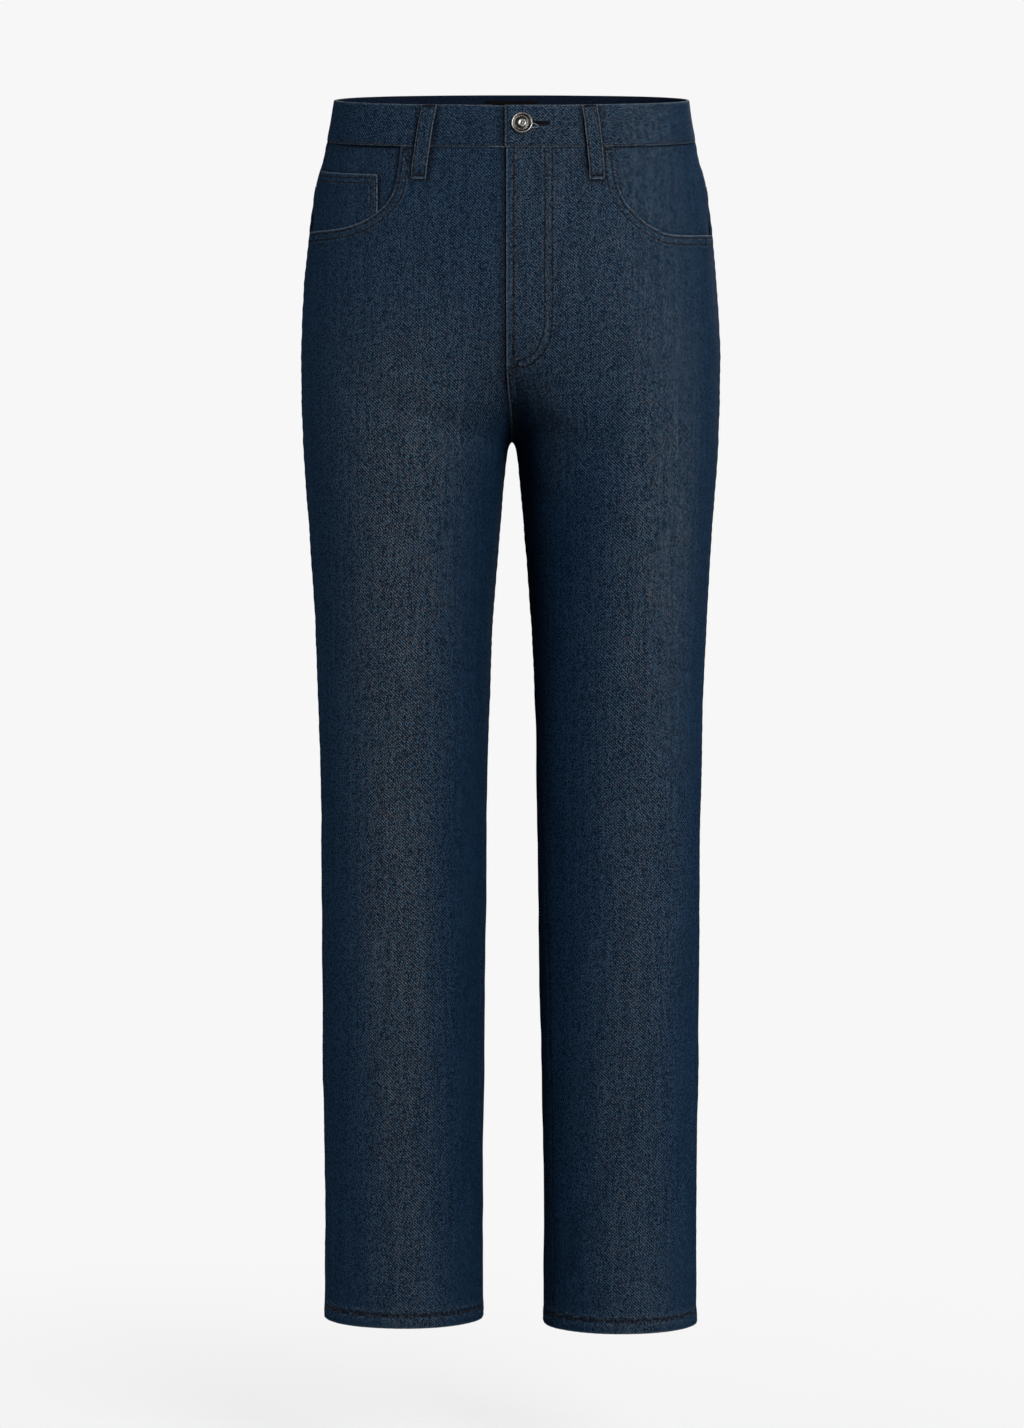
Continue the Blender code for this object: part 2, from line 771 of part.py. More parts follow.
def cut_buttonhole(band):
    """Keyhole through the lapped end only: a round eyelet and a slit."""
    cutter = bmesh.new()
    bmesh.ops.create_cone(
        cutter, cap_ends=True, segments=16,
        radius1=EYELET_RADIUS, radius2=EYELET_RADIUS, depth=CUT_DEPTH)
    eyelet = add_cutter("eyelet_cutter", cutter)
    cutter = bmesh.new()
    bmesh.ops.create_cube(cutter, size=1.0)
    bmesh.ops.scale(cutter, verts=cutter.verts, vec=(SLIT_LENGTH, SLIT_HEIGHT, CUT_DEPTH))
    bmesh.ops.translate(cutter, verts=cutter.verts, vec=(SLIT_LENGTH / 2, 0, 0))
    slit = add_cutter("slit_cutter", cutter)
    for tool in (eyelet, slit):
        cut = band.modifiers.new(tool.name, "BOOLEAN")
        cut.operation = "DIFFERENCE"
        cut.object = tool


def add_cutter(name, shape):
    mesh = bpy.data.meshes.new(name)
    shape.to_mesh(mesh)
    shape.free()
    item = bpy.data.objects.new(name, mesh)
    CUTTERS.objects.link(item)
    item.matrix_world = button_frame()
    item.hide_render = True
    item.display_type = "WIRE"
    return item


def button():
    """Turned shank button: rim, ring and domed centre, shank behind."""
    profile = [(BUTTON_RADIUS * part, CAP_BACK + height) for part, height in CAP_SECTION]
    profile += [(SHANK_RADIUS, CAP_BACK), (SHANK_RADIUS, -BAND_CLOTH), (0.0, -BAND_CLOTH)]
    mesh = bpy.data.meshes.new("button")
    edges = [(i, i + 1) for i in range(len(profile) - 1)]
    mesh.from_pydata([(r, 0.0, z) for r, z in profile], edges, [])
    item = add_object("button", mesh, "metal")
    item.matrix_world = button_frame()
    turn = item.modifiers.new("turn", "SCREW")
    turn.steps = BUTTON_STEPS
    turn.render_steps = BUTTON_STEPS
    turn.use_merge_vertices = True
    turn.merge_threshold = 0.00001
    turn.use_smooth_shade = True
    return item


def loop_height(level, t):
    """Height of a belt loop's face: seated at both ends, free between."""
    seat = mix(BAND_OUT, 0.0, smoothstep(*LOOP_SEAT, level))
    free = smoothstep(*LOOP_LEAVES, t) * (1.0 - smoothstep(*LOOP_LANDS, t))
    return seat + GAP + LOOP_STANDOFF * free + LOOP_CLOTH


def belt_loop(number, side, middle_at):
    """A loop whose middle is at the run that middle_at(level, t) gives."""
    def place(u, t):
        level = mix(LOOP_TOP, LOOP_BOTTOM, t)
        run = middle_at(level, t) + (2 * u - 1) * LOOP_HALF_WIDTH
        return side, run, level, loop_height(level, t)

    return cloth("belt_loop_%d" % number, "denim", *CELLS["loop"], place, all_over(LOOP_CLOTH))


def front_loop(number, side, top, bottom):
    return belt_loop(number, side, lambda level, t: run_at(side, level, mix(top, bottom, t)))


def back_loop(number, side, from_centre):
    return belt_loop(number, side, lambda level, _t: whole_run(side, level) - from_centre)


def label():
    height = BAND_OUT - BAND_CLOTH - GAP

    def place(u, t):
        level = mix(LABEL_TOP, LABEL_BOTTOM, t)
        return 1, whole_run(1, level) + (2 * u - 1) * LABEL_HALF_WIDTH, level, height

    return cloth("label", "label", *CELLS["label"], place, all_over(LABEL_CLOTH))


clear_scene()
PIECES = new_collection("straight_leg_jeans")
CUTTERS = new_collection("cutters")
WAIST = bpy.data.objects.new("waist_centre", None)
PIECES.objects.link(WAIST)

for leg_side in (-1, 1):
    front_panel(leg_side)
    back_panel(leg_side)
    yoke(leg_side)
    pocket_facing(leg_side)
    back_pocket(leg_side)
coin_pocket()
zip_strip()
fly_shield()
waistband()
button()
for loop_row in FRONT_LOOPS:
    front_loop(*loop_row)
for loop_row in BACK_LOOPS:
    back_loop(*loop_row)
label()
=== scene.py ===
import math
from functools import lru_cache

import bmesh
import bpy
import numpy as np
from mathutils import Matrix, Vector


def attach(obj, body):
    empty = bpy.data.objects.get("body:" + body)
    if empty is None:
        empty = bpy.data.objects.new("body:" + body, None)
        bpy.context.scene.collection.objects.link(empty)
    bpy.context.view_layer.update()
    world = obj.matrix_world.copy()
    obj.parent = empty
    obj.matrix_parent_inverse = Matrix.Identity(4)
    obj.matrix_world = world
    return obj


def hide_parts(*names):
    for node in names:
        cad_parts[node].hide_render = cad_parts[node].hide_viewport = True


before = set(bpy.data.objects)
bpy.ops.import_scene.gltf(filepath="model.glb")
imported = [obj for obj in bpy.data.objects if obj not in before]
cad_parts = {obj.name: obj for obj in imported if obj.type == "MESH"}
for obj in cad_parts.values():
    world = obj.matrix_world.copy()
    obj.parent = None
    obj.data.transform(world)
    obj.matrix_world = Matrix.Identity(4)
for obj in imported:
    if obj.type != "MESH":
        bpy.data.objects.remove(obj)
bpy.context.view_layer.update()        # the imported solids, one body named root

print("stage: frame loaded, %d nodes" % len(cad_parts))

# Sizes in metres. A level is the depth below the waistband's top edge, and a
# run the distance round from the centre front, or from the inseam, to the back.
# A side is 1 for the wearer's left and -1 for the right, a face -1 for the front.
jeans = {
    "cloth": 0.0012, "bandCloth": 0.0024, "hemCloth": 0.0028, "gap": 0.0003, "layerGap": 0.0006,
    "seamGap": 0.00004, "tuck": 0.0012, "bandBottom": -0.034, "crotch": -0.281, "inseam": 0.727,
    "hemFold": 0.0128, "hemStep": (-0.0004, 0.0014), "waistLean": 0.116, "leanEnds": -0.28,
    "crotchRound": 0.004, "riseHeight": 0.12, "riseStart": 1.5, "riseSlope": 0.215, "risePower": 1.5,
    "riseEnd": 0.01, "innerReach": 1.25, "legCentre": (0.0876, 0.0895), "inseamSwing": 0.45,
    "sideSeamForward": 0.016, "widens": (0.03, -0.1), "opens": (-0.6, -0.95), "ringSamples": 241,
    "grainAt": 0.088, "slack": ((0.00034, 0.075, 11), (0.00016, 0.028, 12)),     # height, size, seed
}
legs = {
    -1: {"name": "right", "hem": -1.007, "inseamForward": 0.021, "wider": 0.0022, "opens": 0.0},
    1: {"name": "left", "hem": -1.0115, "inseamForward": 0.031, "wider": 0.0, "opens": 0.002},
}
halfGap, seamGap = jeans["gap"] / 2, jeans["seamGap"]    # how far cloth stays from the middle of a seam
crotch, bandBottom = jeans["crotch"], jeans["bandBottom"]
panelTop = bandBottom + jeans["tuck"]                    # the band is sewn over the upper edges

sectionColumns = ("level", "outer", "inner", "front", "back", "fullness")
sectionRows = (
    (0.012, 0.1433, 0.0, 0.096, 0.099, 2.2),
    (0.0, 0.1448, 0.0, 0.098, 0.102, 2.2),
    (-0.035, 0.1508, 0.0, 0.104, 0.109, 2.2),
    (-0.05, 0.154, 0.0, 0.106, 0.112, 2.2),
    (-0.064, 0.1582, 0.0, 0.107, 0.116, 2.2),
    (-0.082, 0.1611, 0.0, 0.109, 0.12, 2.2),
    (-0.115, 0.1653, 0.0, 0.11, 0.128, 2.2),
    (-0.164, 0.1695, 0.0, 0.109, 0.134, 2.2),
    (-0.213, 0.1717, 0.0, 0.105, 0.133, 2.15),
    (-0.246, 0.1714, 0.0, 0.1012, 0.128, 2.12),
    (-0.281, 0.1702, 0.0, 0.0965, 0.119, 2.1),
    (-0.285, 0.17, 0.0028, 0.0959, 0.1179, 2.1),
    (-0.295, 0.1694, 0.005, 0.0946, 0.115, 2.1),
    (-0.328, 0.167, 0.0082, 0.0906, 0.1064, 2.08),
    (-0.361, 0.1646, 0.0106, 0.087, 0.1, 2.06),
    (-0.394, 0.1626, 0.0136, 0.083, 0.094, 2.05),
    (-0.46, 0.159, 0.0177, 0.077, 0.083, 2.05),
    (-0.56, 0.1563, 0.0202, 0.07, 0.07, 2.05),
    (-0.66, 0.1552, 0.0214, 0.064, 0.064, 2.05),
    (-0.79, 0.1546, 0.0231, 0.059, 0.064, 2.05),
    (-0.9, 0.1533, 0.0242, 0.057, 0.067, 2.05),
    (-1.014, 0.1533, 0.0242, 0.057, 0.067, 2.05),
)

# soft troughs and ridges: distance across, slant in degrees up towards the outside, reach along it
foldColumns = ("side", "face", "across", "level", "slant", "reach", "width", "height")
folds = (
    (-1, -1, 0.06, -0.262, 18, 0.06, 0.011, -0.0024),
    (-1, -1, 0.075, -0.236, 28, 0.055, 0.012, 0.0016),
    (-1, -1, 0.07, -0.3, -12, 0.05, 0.012, 0.0014),
    (1, -1, 0.052, -0.284, -24, 0.06, 0.012, -0.0014),
    (1, -1, 0.07, -0.252, 8, 0.055, 0.013, 0.0015),
    (1, -1, 0.075, -0.322, -30, 0.048, 0.012, 0.0013),
    (-1, 1, 0.07, -0.31, -14, 0.06, 0.011, -0.004),
    (1, 1, 0.074, -0.306, -17, 0.055, 0.011, -0.0044),
    (-1, 1, 0.078, -0.344, -16, 0.06, 0.013, -0.003),
    (1, 1, 0.072, -0.349, -12, 0.064, 0.013, -0.0026),
    (-1, 1, 0.088, -0.56, 8, 0.055, 0.013, -0.0022),
    (1, 1, 0.086, -0.584, -6, 0.05, 0.014, -0.0024),
    (1, -1, 0.06, -0.9, 66, 0.11, 0.011, -0.0022),
    (-1, -1, 0.066, -0.93, 72, 0.08, 0.011, -0.0012),
    # fine ones between them
    (-1, -1, 0.03, -0.243, 36, 0.02, 0.006, 0.0007),
    (-1, -1, 0.046, -0.276, 4, 0.03, 0.005, -0.0007),
    (-1, -1, 0.112, -0.222, 20, 0.04, 0.01, -0.0006),
    (-1, -1, 0.052, -0.345, -24, 0.036, 0.009, -0.0007),
    (1, -1, 0.034, -0.256, -34, 0.022, 0.006, 0.0007),
    (1, -1, 0.04, -0.3, -42, 0.03, 0.005, -0.0008),
    (1, -1, 0.098, -0.226, 12, 0.044, 0.01, -0.0006),
    (1, -1, 0.05, -0.362, -35, 0.034, 0.008, 0.0007),
    (-1, -1, 0.058, -0.165, 70, 0.06, 0.009, -0.0005),
    (1, -1, 0.064, -0.175, -74, 0.06, 0.01, -0.0005),
    (-1, -1, 0.128, -0.48, 82, 0.12, 0.014, -0.0007),
    (1, -1, 0.052, -0.5, 84, 0.11, 0.012, -0.0007),
    (-1, -1, 0.096, -0.7, 78, 0.1, 0.014, 0.0006),
    (1, -1, 0.118, -0.76, -82, 0.12, 0.013, 0.0006),
    (1, -1, 0.046, -0.968, 62, 0.036, 0.006, 0.0007),
    (1, -1, 0.04, -0.925, 55, 0.026, 0.005, -0.0006),
    (-1, -1, 0.042, -0.955, 70, 0.032, 0.006, -0.0005),
    (-1, 1, 0.06, -0.286, -22, 0.036, 0.007, 0.0011),
    (1, 1, 0.056, -0.28, -26, 0.034, 0.007, 0.0012),
    (-1, 1, 0.064, -0.368, -10, 0.046, 0.009, 0.0009),
    (1, 1, 0.076, -0.38, -8, 0.044, 0.009, -0.001),
    (-1, 1, 0.094, -0.532, -12, 0.042, 0.009, 0.0011),
    (1, 1, 0.084, -0.548, 14, 0.046, 0.01, 0.0012),
    (-1, 1, 0.086, -0.596, 10, 0.05, 0.009, -0.0011),
    (1, 1, 0.092, -0.622, -12, 0.04, 0.009, -0.0009),
    (-1, 1, 0.11, -0.8, 74, 0.11, 0.013, -0.0009),
    (1, 1, 0.066, -0.83, 80, 0.1, 0.012, -0.0008),
)
foldFades = {"atSide": 0.03, "atCentre": 0.012}


def smoothStep(low, high, value):
    part = np.clip((value - low) / (high - low), 0.0, 1.0)
    return part * part * (3.0 - 2.0 * part)


def mix(a, b, part):
    return a + (b - a) * part


def bump(value, width):
    return np.exp(-(value / width) ** 2)


def grids(*values):
    return [np.array(one, float) for one in np.broadcast_arrays(*values)]


def lengthsAlong(points, axis=0):
    steps = np.linalg.norm(np.diff(points, axis=axis), axis=-1)
    return np.insert(np.cumsum(steps, axis=axis), 0, 0.0, axis=axis)


# the garment's skin: sections down the body and the legs, then folds
def curveOf(name):
    # levels, values and slopes of a curve that never overshoots its rows; the
    # inner edge is kept as its base, and only from the crotch down
    index = sectionColumns.index(name)
    rows = [row for row in reversed(sectionRows) if name != "inner" or row[0] <= crotch]
    levels, values = np.array([(row[0], row[index]) for row in rows]).T
    if name == "inner":
        values = np.hypot(values, jeans["crotchRound"])
    steps = np.diff(levels)
    rates = np.diff(values) / steps
    heavy, light = 2 * steps[1:] + steps[:-1], steps[1:] + 2 * steps[:-1]
    with np.errstate(divide="ignore", invalid="ignore"):
        slopes = (heavy + light) / (heavy / rates[:-1] + light / rates[1:])
    slopes = np.where(rates[:-1] * rates[1:] > 0, slopes, 0.0)
    return levels, values, np.concatenate((rates[:1], slopes, rates[-1:]))


curves = {name: curveOf(name) for name in sectionColumns[1:]}


def curveValue(name, level):
    levels, values, slopes = curves[name]
    i = np.clip(np.searchsorted(levels, level) - 1, 0, len(levels) - 2)
    step = levels[i + 1] - levels[i]
    t = np.clip((level - levels[i]) / step, 0.0, 1.0)
    bends = t * (1 - t) ** 2 * step * slopes[i] + t * t * (t - 1) * step * slopes[i + 1]
    return mix(values[i], values[i + 1], t * t * (3 - 2 * t)) + bends


def sectionAt(side, level):
    level = np.asarray(level, float)
    left = np.asarray(side) > 0
    wider, opens = (np.where(left, legs[1][key], legs[-1][key]) for key in ("wider", "opens"))
    outer = curveValue("outer", level) + wider * smoothStep(*jeans["widens"], level)
    inner = curveValue("inner", level) + opens * smoothStep(*jeans["opens"], level)
    front, back = curveValue("front", level), curveValue("back", level)
    below = mix(*jeans["legCentre"], (crotch - level) / jeans["inseam"])
    above = mix(jeans["legCentre"][0], jeans["crotchRound"], smoothStep(crotch, panelTop, level))
    centre = np.where(level > crotch, above, below)
    height = np.clip((level - crotch) / jeans["riseHeight"], 0.0, 1.0)
    bend = mix(height ** jeans["riseStart"], height, jeans["riseSlope"])
    joined = np.maximum((1.0 - bend) ** jeans["risePower"], jeans["riseEnd"])
    return {
        "centre": centre, "outerHalf": outer - centre, "innerHalf": (centre - inner) / joined,
        "joined": joined, "middle": (back - front) / 2, "halfDepth": (front + back) / 2,
        "fullness": curveValue("fullness", level),
    }


def leanAt(level):
    return jeans["waistLean"] * smoothStep(jeans["leanEnds"], 0.0, level)


@lru_cache(maxsize=None)
def ringAt(side, level):
    s = sectionAt(side, level)
    power = 2 / s["fullness"]
    start = math.acos(s["joined"] ** (s["fullness"] / 2))
    angle = np.linspace(start, 2 * math.pi - start, jeans["ringSamples"])
    aside, ahead = (np.sign(one) * np.abs(one) ** power for one in (np.cos(angle), np.sin(angle)))
    base = s["centre"] - aside * np.where(aside > 0, s["innerHalf"], s["outerHalf"])
    x = np.sqrt(np.maximum(base ** 2 - jeans["crotchRound"] ** 2, halfGap ** 2))
    y = s["middle"] - s["halfDepth"] * ahead
    run = lengthsAlong(np.stack((x, y), -1))
    foremost, outside, rearmost = np.argmin(y), np.argmax(x), np.argmax(y)
    forward = s["middle"] - jeans["sideSeamForward"]
    seam = float(np.interp(forward, y[foremost:outside + 1], run[foremost:outside + 1]))
    reach = jeans["innerReach"] * float(s["centre"])
    return {
        "x": x, "y": y, "run": run, "outside": int(outside), "seam": seam, "whole": float(run[-1]),
        "frontGrain": float(np.interp(jeans["grainAt"], x[:outside], run[:outside])),
        "backGrain": float(np.interp(-jeans["grainAt"], -x[outside:], run[outside:])),
        "frontReach": seam - float(run[foremost]) + reach, "backReach": float(run[rearmost]) - seam + reach,
    }


def ringValue(side, level, name):
    # one number of the rings, for an array of levels
    keys, back = np.unique(np.round(level, 5), return_inverse=True)
    values = np.array([ringAt(side, float(key))[name] for key in keys])
    return values[back].reshape(np.shape(level))


def seamRun(side, level):
    return ringValue(side, level, "seam")


def wholeRun(side, level):
    return ringValue(side, level, "whole")


def flatSpots(side, run, level):
    # world x and y of runs on levels, past the centre front and back too
    side, run, level = np.broadcast_arrays(side, run, np.round(level, 5))
    shape, side, run, level = run.shape, side.ravel(), run.ravel(), level.ravel()
    x, y = np.empty(len(run)), np.empty(len(run))
    order = np.lexsort((level, side))
    changes = np.flatnonzero(np.diff(level[order]) + np.diff(side[order])) + 1
    for here in np.split(order, changes):
        ring = ringAt(int(side[here[0]]), float(level[here[0]]))
        total, r, turned = ring["whole"], run[here], 1.0
        if level[here[0]] > crotch:
            past = (r < -halfGap) | (r > total + halfGap)
            turned = np.where(past, -1.0, 1.0)
            r = np.where(past & (r < 0), -r, np.where(past, 2 * total - r, r))
        else:
            r = r % total
        x[here] = turned * side[here] * np.interp(r, ring["run"], ring["x"])
        y[here] = np.interp(r, ring["run"], ring["y"])
    return x.reshape(shape), y.reshape(shape)


def fieldAt(x, y, level):
    s = sectionAt(np.where(x >= 0, 1, -1), level)
    aside = np.hypot(x, jeans["crotchRound"]) - s["centre"]
    half = np.where(aside > 0, s["outerHalf"], np.maximum(s["innerHalf"], jeans["crotchRound"]))
    across = np.abs(aside / half) ** s["fullness"]
    return across + np.abs((y - s["middle"]) / s["halfDepth"]) ** s["fullness"] - 1.0


def outwardAt(x, y, level):
    step = 0.0003
    slopeX, slopeY, slopeLevel = [
        (fieldAt(x + a, y + b, level + c) - fieldAt(x - a, y - b, level - c)) / (2 * step)
        for a, b, c in np.eye(3) * step]
    stretch = 1.0 + (leanAt(level + step) - leanAt(level - step)) / (2 * step) * y
    normal = np.stack((slopeX, slopeY - slopeLevel * leanAt(level) / stretch, slopeLevel / stretch), -1)
    return normal / np.linalg.norm(normal, axis=-1, keepdims=True)


def foldHeight(x, y, level):
    height = np.zeros(x.shape)
    for row in folds:
        fold = dict(zip(foldColumns, row))
        near = np.abs(level - fold["level"]) < 3 * (fold["reach"] + fold["width"])
        near &= fold["side"] * x > 0
        px, py, pl = np.abs(x[near]), y[near], level[near]
        depth = fold["face"] * (py - sectionAt(fold["side"], pl)["middle"])
        cos, sin = math.cos(math.radians(fold["slant"])), math.sin(math.radians(fold["slant"]))
        out, up = px - fold["across"], pl - fold["level"]
        along, aside = (out * cos + up * sin) / fold["reach"], (up * cos - out * sin) / fold["width"]
        edge = smoothStep(0.0, foldFades["atSide"], depth) * smoothStep(0.0, foldFades["atCentre"], px)
        height[near] += fold["height"] * edge * np.exp(-along ** 2 - aside ** 2)
    return height


def softNoise(points, size, seed):
    # smooth noise from about -1 to 1, a sum of seeded waves of one size
    rng = np.random.default_rng(seed)
    total = np.zeros(points.shape[:-1])
    for _ in range(16):
        direction = rng.normal(size=3)
        direction /= np.linalg.norm(direction) * size * rng.uniform(0.7, 1.5)
        total += np.sin(2 * math.pi * (points @ direction) + rng.uniform(0, 2 * math.pi))
    return total / 5.6


def skinPoints(side, run, level, out):
    # world points moved out from the garment's skin, and their outward normals
    run, level, out = grids(run, level, out)
    x, y = flatSpots(side, run, level)
    normal = outwardAt(x, y, level)
    base = np.stack((x, y, level + leanAt(level) * y), -1)
    slack = sum(height * softNoise(base, size, seed) for height, size, seed in jeans["slack"])
    return base + normal * (out + slack + foldHeight(x, y, level))[..., None], normal


# cloth: dense grids with a wall behind them and rounded edges
fineSteps = np.array((0.0, 0.0003, 0.0008, 0.0015, 0.0024, 0.0035, 0.0048, 0.0063, 0.008, 0.0099, 0.012))


def spacing(length, cell, fineStart=True, fineEnd=True):
    # parts of a length, close together beside an edge
    fine = fineSteps[fineSteps < 0.4 * length]
    start = fine if fineStart else fine[:2]
    end = length - (fine if fineEnd else fine[:2])[::-1]
    count = max(1, round((end[0] - start[-1]) / cell))
    return np.concatenate((start[:-1], np.linspace(start[-1], end[0], count + 1), end[1:])) / length


# by piece: length across and its cell, length down and its cell
gridCells = {
    "yoke": (0.18, 0.0034, 0.05, 0.003), "pocketFacing": (0.095, 0.0035, 0.094, 0.0035),
    "coinPocket": (0.09, 0.003, 0.059, 0.003), "flyShield": (0.04, 0.004, 0.17, 0.005),
    "zipTape": (0.0235, 0.003, 0.165, 0.005), "beltLoop": (0.0126, 0.001, 0.06, 0.0022),
    "label": (0.044, 0.003, 0.0255, 0.002),
}


def gridParts(piece, fine=True):
    # parts of the way across a piece, and down it
    wide, cell, tall, rowCell = gridCells[piece]
    return spacing(wide, cell, fine, fine)[None, :], spacing(tall, rowCell, fine, fine)[:, None]


def newObject(name, mesh):
    item = bpy.data.objects.new(name, mesh)
    bpy.context.scene.collection.objects.link(item)
    return item


# Faded cloth and a painted highlight band, by side and face: level, distance
# across, half width, strength, and the fading from there to the centre
fadesAndHighlights = {
    (-1, -1): ((-0.02, 0.06, 0.09, 0.34, 0.34), (-0.08, 0.06, 0.08, 0.26, 0.26),
               (-0.16, 0.072, 0.074, 0.42, 0.44), (-0.25, 0.078, 0.064, 0.84, 0.56),
               (-0.345, 0.09, 0.045, 0.94, 0), (-0.49, 0.092, 0.038, 0.92, 0),
               (-0.66, 0.093, 0.032, 0.92, 0), (-0.82, 0.09, 0.03, 0.78, 0),
               (-1.0, 0.086, 0.032, 0.56, 0)),
    (1, -1): ((-0.02, 0.07, 0.095, 0.66, 0.62), (-0.08, 0.07, 0.09, 0.52, 0.52),
              (-0.16, 0.09, 0.08, 0.58, 0.58), (-0.22, 0.112, 0.055, 0.62, 0.5),
              (-0.27, 0.12, 0.046, 0.7, 0.36), (-0.345, 0.12, 0.044, 0.8, 0),
              (-0.49, 0.106, 0.042, 0.64, 0), (-0.66, 0.104, 0.035, 0.62, 0),
              (-0.82, 0.095, 0.033, 0.58, 0), (-1.0, 0.099, 0.034, 0.54, 0)),
    (-1, 1): ((-0.02, 0.07, 0.09, 0.45, 0.45), (-0.16, 0.08, 0.075, 0.75, 0.5),
              (-0.25, 0.086, 0.06, 0.8, 0.3), (-0.345, 0.092, 0.045, 0.6, 0),
              (-0.49, 0.088, 0.044, 0.7, 0), (-0.66, 0.09, 0.04, 0.62, 0),
              (-0.82, 0.092, 0.036, 0.6, 0), (-1.0, 0.088, 0.036, 0.5, 0)),
    (1, 1): ((-0.02, 0.074, 0.09, 0.5, 0.45), (-0.16, 0.084, 0.078, 0.72, 0.5),
             (-0.25, 0.082, 0.062, 0.82, 0.3), (-0.345, 0.086, 0.048, 0.64, 0),
             (-0.49, 0.092, 0.044, 0.66, 0), (-0.66, 0.094, 0.038, 0.66, 0),
             (-0.82, 0.09, 0.036, 0.56, 0), (-1.0, 0.091, 0.036, 0.52, 0)),
}


# real fading and a painted highlight band, lighter where the cloth faces front or back
def fadeAndHighlightAt(points, normal):
    total = np.zeros(points.shape[:-1])
    for (side, face), rows in fadesAndHighlights.items():
        levels, *columns = np.array(rows)[::-1].T
        across, width, strength, base = (np.interp(points[..., 2], levels, column) for column in columns)
        spread = (np.abs(points[..., 0]) - across) / width
        amount = np.maximum(strength * np.exp(-np.abs(spread) ** 2.4), base * smoothStep(0.5, -0.5, spread))
        # painted highlight: only where the cloth faces squarely front or back
        amount *= smoothStep(0.25, 0.80, face * normal[..., 1])
        total = np.where(side * points[..., 0] > 0, np.maximum(total, amount), total)
    return total


def wall(name, outer, normal, thick, grain, worn=(), marks=None, finish="body"):
    # a closed thin wall from a grid: outer face, inner face, rounded rim
    shape, marks = normal.shape[:2], marks or {}
    thick = np.broadcast_to(thick, shape)
    edges = {}
    for axis, ends in enumerate((("top", "bottom"), ("left", "right"))):
        edges[ends[0]] = before = lengthsAlong(outer, axis)
        edges[ends[1]] = before.take([-1], axis=axis) - before
    pinch = np.zeros(shape)
    for start, end, radius in (("top", "bottom", thick * 0.48), ("left", "right", thick.min() * 0.48)):
        corner = np.clip(1.0 - np.minimum(edges[start], edges[end]) / radius, 0.0, 1.0)
        pinch = np.maximum(pinch, radius * (1.0 - np.sqrt(1.0 - corner ** 2)))
    inner = outer - normal * (thick - pinch)[..., None]
    outer = outer - normal * pinch[..., None]
    index = np.arange(pinch.size).reshape(shape)
    face = np.stack((index[:-1, :-1], index[1:, :-1], index[1:, 1:], index[:-1, 1:]), -1).reshape(-1, 4)
    loop = np.concatenate((index[0], index[1:, -1], index[-1, -2::-1], index[-2:0:-1, 0]))
    ahead = np.roll(loop, -1)
    rim = np.stack((loop, ahead, ahead + index.size, loop + index.size), -1)
    faces = np.concatenate((face, face[:, ::-1] + index.size, rim))
    points = np.concatenate((outer.reshape(-1, 3), inner.reshape(-1, 3)))
    a, b, c = points[face[len(face) // 2][:3]]
    if np.cross(b - a, c - b) @ normal.reshape(-1, 3)[face[len(face) // 2][0]] < 0:
        faces = faces[:, ::-1]
    mesh = bpy.data.meshes.new(name)
    mesh.from_pydata(points.tolist(), [], faces.tolist())
    corners = np.empty(len(mesh.loops), int)
    mesh.loops.foreach_get("vertex_index", corners)
    uv = np.stack([np.tile(np.broadcast_to(part, shape).ravel(), 2) for part in grain], -1)
    mesh.uv_layers.new(name="cloth").data.foreach_set("uv", uv[corners].ravel())
    wear = np.zeros(shape)
    for edge, most in (worn if isinstance(worn, dict) else dict.fromkeys(worn, 1.0)).items():
        above = (outer[..., 2] > crotch) | (edge in ("top", "bottom"))
        wear = np.maximum(wear, most * bump(edges[edge], relief["wearWidth"]) * above)
    # what the finish reads, on the outer and the inner face
    # fade holds real fading and a painted highlight band
    far, fade = rowForm["far"], fadeAndHighlightAt(outer, normal)
    shares = {"inside": (0.0, 1.0), "wear": (wear, 0.0), "fade": (fade, fade)}
    for share, plain in (("shade", 0.0), ("pairedRows", far), ("loneRow", far)):
        shares[share] = marks.get(share, plain), plain
    for share, both in shares.items():
        values = np.concatenate([np.broadcast_to(one, shape).ravel() for one in both])
        mesh.attributes.new(share, "FLOAT", "POINT").data.foreach_set("value", values)
    mesh.shade_smooth()
    mesh.materials.append(finishes[finish])
    print("stage: %s, %d faces" % (name, len(faces)))
    return newObject(name, mesh)


def settle(item, node=None, slot="denim"):
    # the piece rides on the one body, and stands for its solid
    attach(item, "root")
    if node:
        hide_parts(node)
    return item


def layCloth(node, side, run, level, outOf, thick, worn=(), piece=None, finish="body", slot="denim"):
    # outOf is a height, or a function that gives it and marks its rows of thread
    run, level = np.broadcast_arrays(run, level)
    marks = {}
    out = outOf(side, run, level, marks) if callable(outOf) else outOf
    outer, normal = skinPoints(side, run, level, out)
    onFront = np.mean(run) < np.mean(seamRun(side, level))
    grain = side * (run - ringValue(side, level, "frontGrain" if onFront else "backGrain")), level
    item = wall("cloth_" + (piece or node), outer, normal, thick, grain, worn, marks, finish)
    return settle(item, node, slot)


def lineDistance(run, level, line, reach=0.03):
    # distance of places from a line of (run, level) points, on the cloth
    low, high = line.min(axis=0) - reach, line.max(axis=0) + reach
    best = np.full(run.shape, reach)
    near = (run > low[0]) & (run < high[0]) & (level > low[1]) & (level < high[1])
    points = np.stack((run[near], level[near]), -1)
    found = best[near]
    for a, b in zip(line[:-1], line[1:]):
        span = b - a
        part = np.clip(((points - a) @ span) / max(span @ span, 1e-12), 0.0, 1.0)
        found = np.minimum(found, np.linalg.norm(points - a - part[:, None] * span, axis=1))
    best[near] = found
    return best


def shiftLine(line, away):
    # the same line moved to the right of its direction
    along = np.gradient(line, axis=0)
    along /= np.linalg.norm(along, axis=1, keepdims=True)
    return line + away * np.stack((along[:, 1], -along[:, 0]), -1)


